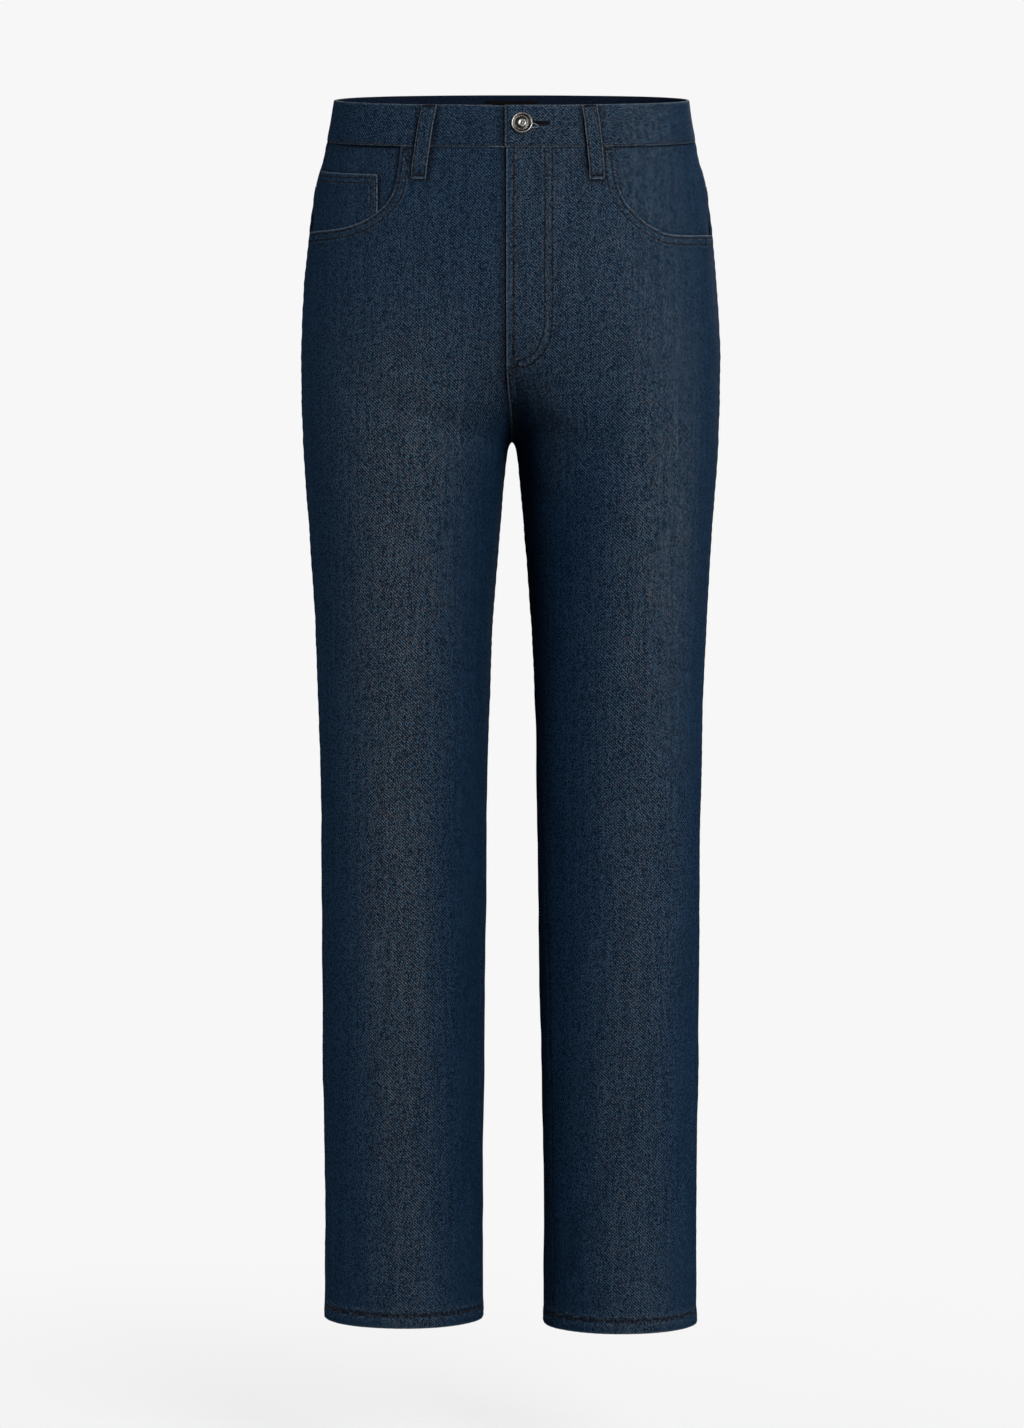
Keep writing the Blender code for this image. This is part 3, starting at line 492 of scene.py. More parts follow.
def smoothThrough(points, pieces):
    padded = np.array([points[0], *points, points[-1]])
    line = []
    for before, start, end, after in zip(padded, padded[1:], padded[2:], padded[3:]):
        square = 2 * before - 5 * start + 4 * end - after
        cube = 3 * start - before - 3 * end + after
        for t in np.arange(pieces) / pieces:
            line.append((2 * start + (end - before) * t + square * t ** 2 + cube * t ** 3) / 2)
    return np.array(line + [padded[-1]])


# relief beside seams and folded edges
relief = {
    "rim": 0.00045, "rimEnds": (0.0088, 0.012), "groove": 0.00042, "grooveWidth": 0.001,
    "pucker": 0.00018, "puckerStep": 0.0068, "puckerReach": 0.01, "puckerAway": 0.004,
    "seamDip": 0.0004, "seamDipWidth": 0.0013, "seamRise": 0.0004, "seamAway": 0.0042, "seamWidth": 0.006,
    "seamWaves": (0.00016, 0.0105), "sewnRise": 0.0002, "crotchEnds": (0.006, -0.01), "wearWidth": 0.0009,
    "hemRow": 0.0112, "hemRise": 0.0005, "hemReach": 0.04,
    # ropes in the hem: strength, slant, step, seed, middle and width above its edge
    "hemRopes": ((0.00034, 0.6, 0.0078, 3.0, 0.0045, 0.0062), (0.000102, 0.0, 0.0039, 5.0, 0.014, 0.006)),
}
rowForm = {"paired": 0.0027, "lone": 0.004, "far": 0.05}
# painted shadow on the cloth beside an edge that lies on it: strength, reach
shades = {"band": (0.85, 0.0012), "loop": (0.8, 0.0028), "lap": (0.62, 0.006), "mouth": (0.4, 0.0022),
          "coin": (0.75, 0.0014)}


def ripple(along, step, seed):
    # uneven waves along a seam, from -1 to 1
    quick, slow = np.sin(along * 61.0 + seed), np.sin(along * 23.0 + seed)
    return np.sin(2 * math.pi * along / step + 2.4 * quick + 1.1 * slow)


def grooveAt(distance):
    return relief["groove"] * bump(distance, relief["grooveWidth"])


def markRows(marks, distance, rows, where=True):
    # what the finish reads: two rows lie at one distance from their middle
    # line, a single row at one distance from its edge
    if marks is None:
        return
    if len(rows) == 2:
        half = (rows[1] - rows[0]) / 2
        key, value = "pairedRows", np.abs(distance - rows[0] - half) * rowForm["paired"] / half
    else:
        key, value = "loneRow", np.abs(distance) * rowForm["lone"] / rows[0]
    value = np.minimum(np.where(where, value, rowForm["far"]), rowForm["far"])
    marks[key] = np.minimum(marks.get(key, rowForm["far"]), value)


# paints a shadow that fades with distance from an edge lying on the cloth
def markShade(marks, kind, distance, where=True):
    if marks is not None:
        strength, reach = shades[kind]
        amount = np.where(where, strength * bump(np.maximum(distance, 0.0), reach), 0.0)
        marks["shade"] = np.maximum(marks.get("shade", 0.0), amount)


def besideLoops(side, run, level):
    # distance to the nearest belt loop
    best = np.full(np.broadcast(run, level).shape, 1.0)
    t = np.clip((loopForm["top"] - level) / (loopForm["top"] - loopForm["bottom"]), 0.0, 1.0)
    for number, (loopSide, *_) in loops.items():
        if loopSide == side or number == 5:
            aside = np.abs(run - loopMiddle(number, side, level, t)) - loopForm["halfWidth"]
            below = loopForm["bottom"] - level
            best = np.minimum(best, np.hypot(np.maximum(aside, 0.0), np.maximum(below, 0.0)))
    return best


# painted shadow under the waistband's lower edge and beside the belt loops
def markUnderWaist(marks, side, run, level):
    markShade(marks, "band", bandBottom - level)
    markShade(marks, "loop", besideLoops(side, run, level))


def foldedEdge(distance, along, rows, rim=relief["rim"], marks=None, where=True):
    # a turned and topstitched edge: raised rim, grooves under its rows
    markRows(marks, distance, rows, where)
    reach = bump(distance - relief["puckerAway"], relief["puckerReach"])
    waves = relief["pucker"] * ripple(along, relief["puckerStep"], 1.0) * reach
    height = rim * (1.0 - smoothStep(*relief["rimEnds"], distance)) + waves
    return height - sum(grooveAt(distance - row) for row in rows)


def plainSeam(distance, along, rise=relief["seamRise"]):
    # cloth rounding over a seam, drawn in unevenly by its thread
    height, step = relief["seamWaves"]
    reach = bump(distance - relief["seamAway"], relief["seamWidth"])
    dip = relief["seamDip"] * bump(distance, relief["seamDipWidth"])
    return (rise + height * ripple(along, step, 2.0)) * reach - dip


def turnedHem(side, run, level, marks):
    # the turned hem: a soft step above its row, and slanting ropes in it
    up = level - legs[side]["hem"]
    markRows(marks, up, (relief["hemRow"],), up < rowForm["far"])
    body = relief["hemRise"] * (1 - smoothStep(*(jeans["hemFold"] + end for end in jeans["hemStep"]), up))
    height = body - grooveAt(up - relief["hemRow"])
    for strength, slant, step, seed, middle, width in relief["hemRopes"]:
        height = height + strength * ripple(run + slant * up, step, seed) * bump(up - middle, width)
    return height * (up < relief["hemReach"])


def inseamSwing(side, level):
    return legs[side]["inseamForward"] * smoothStep(crotch, crotch - jeans["inseamSwing"], level)


def crotchShares(level):
    # how far a place belongs above the crotch, and below it
    up, down = relief["crotchEnds"]
    return smoothStep(crotch, crotch + up, level), 1 - smoothStep(crotch + down, crotch, level)


# front panels with the fly lap and the scooped pocket mouths
fly = {"edge": 0.0045, "crotchLap": 0.0008, "crotchBlend": 0.001, "bottom": -0.2195, "lapEnds": 0.01,
       "underlap": 0.006, "underStarts": (-0.012, -0.002), "underDips": (-0.026, -0.013),
       "lapBlend": (0.0054, 0.0164), "underOut": -0.0019, "edgeRow": 0.0056, "edgeRim": 0.00035,
       "crotchRows": (0.002, 0.0075), "crotchRim": 0.0003, "curveStarts": -0.18, "curveRises": 0.8,
       "rowAcross": 0.0322, "rowsApart": 0.0062, "rowEnds": 0.0066, "rowReach": 0.008,
       "puff": 0.0004, "puffRises": 0.03, "ridge": (0.0146, 0.0022, 0.0005), "ridgeLean": 0.05,
       "ridgeLevels": (-0.085, -0.055), "ridgeStarts": (-0.15, -0.085),
       "waves": (0.00022, 190.0, 0.012, 0.006), "shieldReach": 0.034, "shieldTaper": 0.35,
       "shieldBottom": -0.208, "zipReach": 0.019, "zipBottom": -0.2, "zipCloth": 0.001}
scoops = {
    -1: ((0.0892, panelTop), (0.0912, -0.052), (0.0948, -0.0705), (0.1021, -0.0825),
         (0.1128, -0.092), (0.1261, -0.0992), (0.1449, -0.1043)),
    1: ((0.0815, panelTop), (0.0828, -0.053), (0.0868, -0.071), (0.0949, -0.085),
        (0.1064, -0.0965), (0.1171, -0.1033), (0.1314, -0.1083)),
}
scoopAtSide, scoopFlat = {-1: -0.108, 1: -0.1105}, 0.012
scoopRows = (0.0024, 0.0078)
panel = {"cell": 0.0031, "rowCell": 0.0036, "fanEnds": -0.153, "fanRows": 30, "waistSteps": 39,
         "aboveCrotch": (0.012, 0.009, 0.006, 0.004, 0.0025, 0.0012, 0.0004, 0.0),
         "belowCrotch": (0.0006, 0.0016, 0.003, 0.005, 0.0075, 0.0105),
         "frontArea": {-1: 0.186, 1: 0.179}, "backArea": {-1: 0.236, 1: 0.24}}


def frontEdge(side, level):
    level = np.asarray(level, float)
    seam = np.maximum(fly["edge"] * smoothStep(crotch, fly["bottom"], level),
                      fly["crotchLap"] * smoothStep(crotch, crotch + fly["crotchBlend"], level))
    above = seamGap - seam
    if side < 0:
        laps = smoothStep(*fly["underStarts"], level - fly["bottom"])
        above = mix(seam + seamGap, -fly["underlap"], laps)
    return np.where(level <= crotch, seamGap + inseamSwing(side, level), above)


def frontWidth(side, level):
    return seamRun(side, level) - seamGap - frontEdge(side, level)


def runAt(side, level, across):
    # run on the front where the skin is this far across from the centre
    level, across = np.broadcast_arrays(level, across)
    found = np.empty(level.shape)
    for key in np.unique(np.round(level, 5)):
        here = np.round(level, 5) == key
        ring = ringAt(side, float(key))
        found[here] = np.interp(across[here], ring["x"][:ring["outside"]], ring["run"][:ring["outside"]])
    return found


@lru_cache(maxsize=None)
def scoopLine(side):
    # the pocket mouth as (run, level), from the waist seam to the side seam
    across, level = np.array(scoops[side]).T
    last = scoopAtSide[side]
    end = (ringAt(side, last)["seam"] - seamGap, last)
    return smoothThrough([*np.stack((runAt(side, level, across), level), -1), end], 12)


@lru_cache(maxsize=None)
def flyRow(offset):
    # a row that holds the fly's facing: straight down, then curved in
    level = np.linspace(panelTop, fly["curveStarts"], 40)
    across = fly["rowAcross"] - offset
    angle = np.linspace(0, math.pi / 2, 16)[1:]
    depth = fly["bottom"] + fly["curveRises"] * offset - fly["curveStarts"]
    curve = np.stack((fly["rowEnds"] + (across - fly["rowEnds"]) * np.cos(angle),
                      fly["curveStarts"] + depth * np.sin(angle)), -1)
    return np.concatenate((np.stack((np.full(len(level), across), level), -1), curve))


def frontOut(side, run, level, marks=None):
    run, level = grids(run, level)
    fromSeam, fromEdge = seamRun(side, level) - run, run - frontEdge(side, level)
    toScoop = lineDistance(run, level, scoopLine(side))
    above, below = crotchShares(level)
    out = foldedEdge(toScoop, run - level, scoopRows, marks=marks)
    out += plainSeam(fromSeam, level) * (1 - smoothStep(-scoopFlat, 0.0, level - scoopAtSide[side]))
    out += plainSeam(fromEdge, level) * below + turnedHem(side, run, level, marks)
    out += plainSeam(panelTop - level, run, relief["sewnRise"]) * (toScoop > 0.004)
    # painted shadow under the waistband and beside the belt loops
    markUnderWaist(marks, side, run, level)
    if side < 0:
        # painted shadow of the fly's lap on the right panel
        markShade(marks, "lap", run + frontEdge(1, level), level > crotch)
        under = 1.0 - smoothStep(*fly["lapBlend"], run)
        return mix(out, fly["underOut"], under * smoothStep(*fly["underDips"], level - fly["bottom"]))
    lap = smoothStep(-fly["lapEnds"], 0.0, level - fly["bottom"])
    low = above * (1 - lap)
    out += foldedEdge(fromEdge, level, (fly["edgeRow"],), fly["edgeRim"], marks, lap > 0.5) * lap
    out += foldedEdge(fromEdge, level, fly["crotchRows"], fly["crotchRim"], marks, low > 0.5) * low
    outline = flyRow(0.0)
    inside = (run < np.interp(-level, -outline[:, 1], outline[:, 0])) & (level > fly["bottom"])
    out += fly["puff"] * inside * smoothStep(0.0, fly["puffRises"], level - fly["bottom"])
    # a soft ridge over the zip, and waves down the lap's edge
    place, width, height = fly["ridge"]
    lean = place + fly["ridgeLean"] * (level - fly["ridgeLevels"][0])
    soft = smoothStep(*fly["ridgeStarts"], level) * (1 - smoothStep(*fly["ridgeLevels"], level))
    out += height * bump(run - lean, width) * soft
    height, turns, place, width = fly["waves"]
    out += height * np.sin(level * turns) * bump(run - place, width) * lap
    half = fly["rowsApart"] / 2
    middle = lineDistance(run, level, flyRow(half), fly["rowReach"])
    markRows(marks, middle, (-half, half))
    return out - grooveAt(middle - half)


def panelLevels(side):
    # rows of a leg panel below its fan, close together at the crotch and hem
    rise, down = crotch + np.array(panel["aboveCrotch"]), crotch - np.array(panel["belowCrotch"])
    count = round((rise[0] - panel["fanEnds"]) / -panel["rowCell"])
    upper = np.linspace(panel["fanEnds"], rise[0], count + 1)
    length = down[-1] - legs[side]["hem"]
    lower = down[-1] - length * spacing(length, panel["rowCell"], False)
    return np.concatenate((upper[:-1], rise, down[:-1], lower))


def fanSteps(drop):
    # parts of the way down the fan, close together below a topstitched edge
    fine, rest = fineSteps[:-1], np.linspace(0.0, 1.0, panel["fanRows"] + 2)[1:-1]
    return np.array([np.concatenate((fine, mix(fine[-1], one, rest))) / one for one in drop]).T


def hemThickness(side, level):
    step = smoothStep(jeans["hemFold"] - 0.0008, jeans["hemFold"], level - legs[side]["hem"])
    return mix(jeans["hemCloth"], jeans["cloth"], step)


def frontPanel(side):
    levels = panelLevels(side)
    wide = frontWidth(side, levels)[:, None]
    part = spacing(wide[0, 0], panel["cell"])
    reach = ringValue(side, levels, "frontReach")[:, None]
    inward = 1 - part[None, :]
    run = frontEdge(side, levels)[:, None] + wide - (inward * reach + (wide - reach) * inward ** 4)
    level = np.repeat(levels[:, None], len(part), 1)
    # the fan, from the waist seam and the pocket mouth down to the first row
    scoop, count = scoopLine(side), panel["waistSteps"]
    waistRuns = np.linspace(frontEdge(side, panelTop), scoop[0, 0], count + 1)[:-1]
    edge = np.concatenate((np.stack((waistRuns, np.full(count, panelTop)), -1), scoop))
    lengths = lengthsAlong(edge)
    corner = part[np.argmin(np.abs(part - lengths[count] / lengths[-1]))]
    along = np.interp(part, (0.0, corner, 1.0), (0.0, lengths[count], lengths[-1]))
    topRun, topLevel = (np.interp(along, lengths, column) for column in edge.T)
    topPart = (topRun - frontEdge(side, topLevel)) / frontWidth(side, topLevel)
    lowPart = (run[0] - frontEdge(side, levels[0])) / wide[0]
    step = fanSteps(topLevel - levels[0])
    fanLevel = mix(topLevel, levels[0], step)
    fanRun = frontEdge(side, fanLevel) + mix(topPart, lowPart, step) * frontWidth(side, fanLevel)
    run, level = np.concatenate((fanRun, run)), np.concatenate((fanLevel, level))
    worn = ("top", "bottom", "left") if side > 0 else ("top", "bottom")
    item = layCloth("front_" + legs[side]["name"], side, run, level, frontOut,
                    hemThickness(side, level), worn)


# back panels and yokes
yokeForm = {"atSide": -0.07, "atBack": -0.098, "rows": (0.0022, 0.0078), "lap": 0.0007, "rowReach": 0.03}


def yokeLevel(part):
    return mix(yokeForm["atSide"], yokeForm["atBack"], part)


def backRun(side, level, part):
    start = seamRun(side, level) + seamGap
    lap = yokeForm["lap"] * smoothStep(crotch, crotch + fly["crotchBlend"], level) * (side > 0)
    end = wholeRun(side, level) + np.where(level <= crotch, inseamSwing(side, level) - seamGap, lap)
    reach = ringValue(side, level, "backReach")
    return start + part * reach + (end - start - reach) * part ** 4


def centreBack(side, distance, along, marks=None, where=True):
    if side > 0:
        return foldedEdge(distance, along, yokeForm["rows"], marks=marks, where=where)
    return plainSeam(distance, along, relief["sewnRise"] / 2)


def backOut(side, run, level, marks=None):
    run, level = grids(run, level)
    fromSeam, fromBack = run - seamRun(side, level), wholeRun(side, level) - run
    fromYoke = yokeLevel(np.clip(fromSeam / (fromBack + fromSeam), 0, 1)) - level
    above, below = crotchShares(level)
    out = plainSeam(fromSeam, level) + turnedHem(side, run, level, marks)
    out += foldedEdge(fromYoke, run, yokeForm["rows"], marks=marks) * (fromYoke < yokeForm["rowReach"])
    out += centreBack(side, fromBack, level, marks, above > 0.5) * above
    return out + plainSeam(fromBack + inseamSwing(side, level), level) * below


def backPanel(side):
    levels = panelLevels(side)
    part = spacing(float(np.ptp(backRun(side, levels[:1], np.array((0.0, 1.0))))), panel["cell"])
    topLevel = yokeLevel(part) - jeans["gap"]
    fan = mix(topLevel, levels[0], fanSteps(topLevel - levels[0]))
    level = np.concatenate((fan, np.repeat(levels[:, None], len(part), 1)))
    worn = ("top", "bottom", "right") if side > 0 else ("top", "bottom")
    item = layCloth("back_" + legs[side]["name"], side, backRun(side, level, part[None, :]), level, backOut,
                    hemThickness(side, level), worn)


def yokeOut(side, run, level, marks=None):
    out = plainSeam(run - seamRun(side, level), level, relief["sewnRise"])
    out = out + plainSeam(panelTop - level, run, relief["sewnRise"])
    # painted shadow under the waistband and beside the belt loops
    markUnderWaist(marks, side, run, level)
    return out + centreBack(side, wholeRun(side, level) - run, level, marks)


def yoke(side):
    part, down = gridParts("yoke")
    level = mix(panelTop, yokeLevel(part), down)
    item = layCloth("yoke_" + legs[side]["name"], side, backRun(side, level, part), level, yokeOut,
                    jeans["cloth"], ("right",) if side > 0 else ())


# pockets: facings and the small patch in the mouths, patches on the back
mouth = {"underFront": 0.012, "bottom": -0.128, "lift": 0.018, "blend": (0.006, 0.022),
         "coinCloth": 0.001, "coinTop": -0.057, "coinBottom": -0.116, "coinInner": 0.1095,
         "coinRim": 0.0002, "coinTopRows": (0.0034, 0.0076), "coinSideRows": (0.0013, 0.0068),
         "coinRowLength": 0.046}
patch = {"top": -0.111, "gap": 0.0008, "fromCentre": 0.076, "halfWidth": 0.062, "foot": 0.84,
         "height": 0.114, "point": 0.02, "slant": 0.01, "rows": (0.002, 0.0076), "hemRow": 0.013,
         "rim": 0.0003, "hemEnds": (0.0135, 0.0155), "cell": 0.0034, "middle": (-0.02, 0.0, 0.02),
         "footPart": 0.95}


def coinInner(level):
    return runAt(-1, level, mouth["coinInner"])


def mouthHeight(side, run, level):
    sewn = smoothStep(-mouth["lift"], -halfGap, run - seamRun(side, level))
    above = smoothStep(*mouth["blend"], level - scoopAtSide[side])
    return -(jeans["cloth"] + jeans["layerGap"]) * (1.0 - sewn * above)


def facingOut(side, run, level, marks):
    # painted shadow under the waistband, beside the belt loops, the pocket mouth and the coin pocket
    markUnderWaist(marks, side, run, level)
    markShade(marks, "mouth", lineDistance(run, level, scoopLine(side)))
    if side > 0:
        return mouthHeight(side, run, level)
    beside = np.maximum(coinInner(level) - run, 0.0)
    markShade(marks, "coin", np.hypot(np.maximum(level - mouth["coinTop"], 0.0), beside))
    return mouthHeight(side, run, level) - (mouth["coinCloth"] + jeans["layerGap"])


def pocketFacing(side):
    part, down = gridParts("pocketFacing")
    level = mix(panelTop, mouth["bottom"], down)
    inside = runAt(side, level, scoops[side][0][0] - mouth["underFront"])
    run = mix(inside, seamRun(side, level) - seamGap, part)
    item = layCloth("pocket_facing_" + legs[side]["name"], side, run, level, facingOut, jeans["cloth"])


def coinOut(side, run, level, marks=None):
    out = foldedEdge(mouth["coinTop"] - level, run, mouth["coinTopRows"], mouth["coinRim"], marks)
    out = out + foldedEdge(run - coinInner(level), level, mouth["coinSideRows"], mouth["coinRim"], marks)
    return out + mouthHeight(side, run, level)


def coinPocket():
    part, down = gridParts("coinPocket")
    level = mix(mouth["coinTop"], mouth["coinBottom"], down)
    run = mix(coinInner(level), seamRun(-1, level) - jeans["gap"], part)
    item = layCloth("coin_pocket", -1, run, level, coinOut, mouth["coinCloth"], ("top", "left"))


def patchLength(across):
    return patch["height"] + patch["point"] * (1.0 - np.abs(across))


def patchSpot(side, across, t):
    level = patch["top"] - t * patchLength(across) + patch["slant"] * across * (1.0 - t)
    fromCentre = patch["fromCentre"] + patch["halfWidth"] * mix(1.0, patch["foot"], t) * across
    return wholeRun(side, level) - fromCentre, level


def patchOut(run, level, across, t, marks=None):
    down = t * patchLength(across)
    wide = patch["halfWidth"] * mix(1.0, patch["foot"], t)
    foot = (1.0 - t) * patchLength(across) * patch["footPart"]
    edge = np.minimum((1.0 - np.abs(across)) * wide, foot)
    out = foldedEdge(edge, run - level, patch["rows"], patch["rim"], marks)
    markRows(marks, down, (patch["hemRow"],))
    out = out + patch["rim"] * (1 - smoothStep(*patch["hemEnds"], down)) - grooveAt(down - patch["hemRow"])
    return out + jeans["cloth"] + patch["gap"]


def backPocket(side):
    half = spacing(patch["halfWidth"], patch["cell"], False)[2:]
    across = np.concatenate((-half[::-1], patch["middle"], half))
    across, t = np.meshgrid(across, spacing(patch["height"], patch["cell"]))
    item = layCloth("back_pocket_" + legs[side]["name"], side, *patchSpot(side, across, t),
                    lambda side, run, level, marks: patchOut(run, level, across, t, marks),
                    jeans["cloth"], ("top", "bottom", "left", "right"))


# fly shield and zip behind the lap
zipForm = {"out": -2 * jeans["cloth"] - jeans["gap"] - jeans["layerGap"], "teethAt": 0.0072,
           "teethApart": 0.0011, "toothPitch": 0.0024, "toothSize": (0.001, 0.0026, 0.0007)}


def flyShield():
    part, down = gridParts("flyShield", False)
    reach = fly["shieldReach"] * (1.0 - fly["shieldTaper"] * down ** 3)
    run = mix(-fly["underlap"], reach, part)
    item = layCloth("fly_shield", 1, run, mix(panelTop, fly["shieldBottom"], down),
                    zipForm["out"] - jeans["layerGap"] - fly["zipCloth"], jeans["cloth"])


def zipTape():
    part, down = gridParts("zipTape", False)
    run, level = mix(-fly["edge"], fly["zipReach"], part), mix(panelTop, fly["zipBottom"], down)
    item = layCloth("zip", 1, run, level, zipForm["out"], fly["zipCloth"], piece="zip_tape", finish="tape",
                    slot="zip_tape")


# waistband, one strip lapped at the front, its top edge folded
band = {"out": 0.0006, "lap": 0.0058, "underlap": 0.032, "blend": (0.0066, 0.024), "cell": 0.0034,
        "rowCell": 0.0024, "row": 0.0327, "endRow": 0.0024, "endGroove": 0.0003,
        # waves along it: strength, slant, step, seed, middle and width below the top edge
        "waves": ((0.00016, 0.35, 0.0105, 4.0, 0.029, 0.006), (0.00016, 0.0, 0.034, 7.0, 0.016, 0.011)),
        "worn": {"top": 0.8, "bottom": 0.35, "right": 0.8}}
bandHalves = {side: ringAt(side, bandBottom)["whole"] for side in (-1, 1)}
bandTotal = bandHalves[-1] + bandHalves[1] + band["lap"]


def bandPlace(way, level):
    # side and run of a way along the strip, from the underlap's end to the lap's
    right, left = bandHalves[-1], bandHalves[1]
    onRight, onLeft = (way >= 0) & (way <= right), (way > right) & (way <= right + left)
    side = np.where((way < 0) | onLeft, 1, -1)
    run = np.where(way < 0, -way, way - right - left)
    run = np.where(onRight, way / right * wholeRun(-1, level), run)
    return side, np.where(onLeft, (1 - (way - right) / left) * wholeRun(1, level), run)


def bandOut(way, level):
    depth = -level
    out = band["out"] - (jeans["bandCloth"] + jeans["gap"]) * (1.0 - smoothStep(*band["blend"], way))
    out = out - grooveAt(depth - band["row"])
    out = out - band["endGroove"] * bump(bandTotal - way - band["endRow"], relief["grooveWidth"])
    for strength, slant, step, seed, middle, width in band["waves"]:
        out = out + strength * ripple(way + slant * depth, step, seed) * bump(depth - middle, width)
    return out


def waistband():
    length = bandTotal + band["underlap"]
    way = length * spacing(length, band["cell"], False) - band["underlap"]
    way, level = np.meshgrid(way, bandBottom * spacing(-bandBottom, band["rowCell"]))
    side, run = bandPlace(way, level)
    outer, normal = skinPoints(side, run, level, bandOut(way, level))
    marks = {}
    markRows(marks, level - bandBottom, (-bandBottom - band["row"],))
    markRows(marks, bandTotal - way, (band["endRow"],))
    # painted shadow beside the lap's end and beside the belt loops
    markShade(marks, "lap", way - band["lap"])
    for half in (-1, 1):
        markShade(marks, "loop", besideLoops(half, run, level), side == half)
    item = wall("cloth_waistband", outer, normal, jeans["bandCloth"], (-way, level), band["worn"], marks,
                "band")
    cutButtonhole(item)
    settle(item, "waistband")


# button in its buttonhole; its section gives height by part of the radius
button = {"across": 0.0078, "level": -0.015, "radius": 0.0086, "shank": 0.0021, "back": 0.0006,
          "eyelet": 0.0027, "slitLength": 0.0215, "slitHeight": 0.001,
          "section": ((0.0, 0.00262), (0.1, 0.0026), (0.15, 0.0025), (0.18, 0.00244), (0.22, 0.00262),
                      (0.28, 0.00284), (0.34, 0.00276), (0.39, 0.0024), (0.42, 0.0019), (0.46, 0.00165),
                      (0.76, 0.00165), (0.82, 0.00185), (0.86, 0.00225), (0.9, 0.00242), (0.94, 0.00232),
                      (0.97, 0.002), (1.0, 0.0014), (1.0, 0.0009), (0.97, 0.0003), (0.9, 0.0)),
          "dark": ((0.05, 0.17), (0.4, 0.85)), "segments": 72,
          "dots": 24, "dotRing": 0.63, "dotRadius": 0.00048, "dotHeight": 0.00172}


@lru_cache(maxsize=None)
def buttonFrame():
    # the button's own +Z looks out of the waistband, +X towards the wearer's left
    centre, out = (Vector(one) for one in skinPoints(1, button["across"], button["level"], band["out"]))
    right = Vector((0, 0, 1)).cross(out).normalized()
    turn = Matrix((right, out.cross(right), out)).transposed().to_4x4()
    return Matrix.Translation(centre) @ turn


def bakeModifiers(item):
    # the evaluated result becomes the object's own plain mesh
    bpy.context.view_layer.update()
    result = bpy.data.meshes.new_from_object(item.evaluated_get(bpy.context.evaluated_depsgraph_get()))
    item.modifiers.clear()
    item.data = result


def meshOf(name, shape, turn=Matrix.Identity(4)):
    shape.transform(turn)
    mesh = bpy.data.meshes.new(name)
    shape.to_mesh(mesh)
    shape.free()
    return mesh


def cutButtonhole(item):
    # keyhole through the lapped end only: a round eyelet and a slit
    depth, radius, length = 2 * jeans["bandCloth"] + jeans["gap"], button["eyelet"], button["slitLength"]
    eyelet, slit = bmesh.new(), bmesh.new()
    bmesh.ops.create_cone(eyelet, cap_ends=True, segments=32, radius1=radius, radius2=radius, depth=depth)
    bmesh.ops.create_cube(slit, size=1.0)
    bmesh.ops.scale(slit, verts=slit.verts, vec=(length, button["slitHeight"], depth))
    bmesh.ops.translate(slit, verts=slit.verts, vec=(length / 2, 0, 0))
    for kind, shape in (("eyelet", eyelet), ("slit", slit)):
        cutter = newObject(kind, meshOf(kind, shape, buttonFrame()))
        cut = item.modifiers.new(kind, "BOOLEAN")
        cut.operation, cut.object = "DIFFERENCE", cutter
        bakeModifiers(item)
        bpy.data.objects.remove(cutter)


def makeButton():
    back, radius = button["back"], button["radius"]
    profile = [(radius * part, back + height) for part, height in button["section"]]
    profile += [(button["shank"], back), (button["shank"], -jeans["bandCloth"]), (0.0, -jeans["bandCloth"])]
    shape = bmesh.new()
    verts = [shape.verts.new((out, 0.0, height)) for out, height in profile]
    for a, b in zip(verts, verts[1:]):
        shape.edges.new((a, b))
    bmesh.ops.spin(shape, geom=shape.verts[:] + shape.edges[:], axis=(0, 0, 1), cent=(0, 0, 0),
                   angle=2 * math.pi, steps=button["segments"], use_merge=True)
    bmesh.ops.remove_doubles(shape, verts=shape.verts, dist=0.00001)
    bmesh.ops.recalc_face_normals(shape, faces=shape.faces)
    places = [(math.hypot(vert.co.x, vert.co.y) / radius, vert.co.z) for vert in shape.verts]
    mesh = meshOf("shank_button", shape, buttonFrame())
    recess = [float(height > back and any(low < part < high for low, high in button["dark"]))
              for part, height in places]
    mesh.attributes.new("recess", "FLOAT", "POINT").data.foreach_set("value", recess)
    mesh.shade_smooth()
    mesh.set_sharp_from_angle(angle=math.radians(50))
    mesh.materials.append(finishes["metal"])
    settle(newObject("shank_button", mesh), "button", "button_metal")


# belt loops and label; by number: side, then distances across at the top and the
# bottom of the front ones, and from the centre back of the others
loopForm = {"halfWidth": 0.0063, "top": -0.001, "bottom": -0.061, "cloth": 0.0014, "standoff": 0.0021,
            "seat": (bandBottom + 0.004, bandBottom - 0.006), "leaves": (0.04, 0.26), "lands": (0.8, 0.95),
            "row": 0.005, "tackUp": 0.0032, "rowGroove": (0.00026, 0.0008), "tackGroove": (0.0003, 0.0012),
            "ridge": (0.00022, 0.003), "waves": (0.0001, 0.0052, 0.012),
            "worn": {"top": 0.5, "bottom": 1.0, "left": 0.7, "right": 0.7}}
loops = {1: (-1, 0.066, 0.075), 2: (1, 0.062, 0.0682), 3: (-1, 0.094), 4: (1, 0.094), 5: (1, 0.0)}
labelForm = {"halfWidth": 0.022, "top": -0.0045, "bottom": -0.03, "cloth": 0.001}


def loopMiddle(number, side, level, t):
    ends = loops[number][1:]
    return runAt(side, level, mix(*ends, t)) if len(ends) == 2 else wholeRun(side, level) - ends[0]


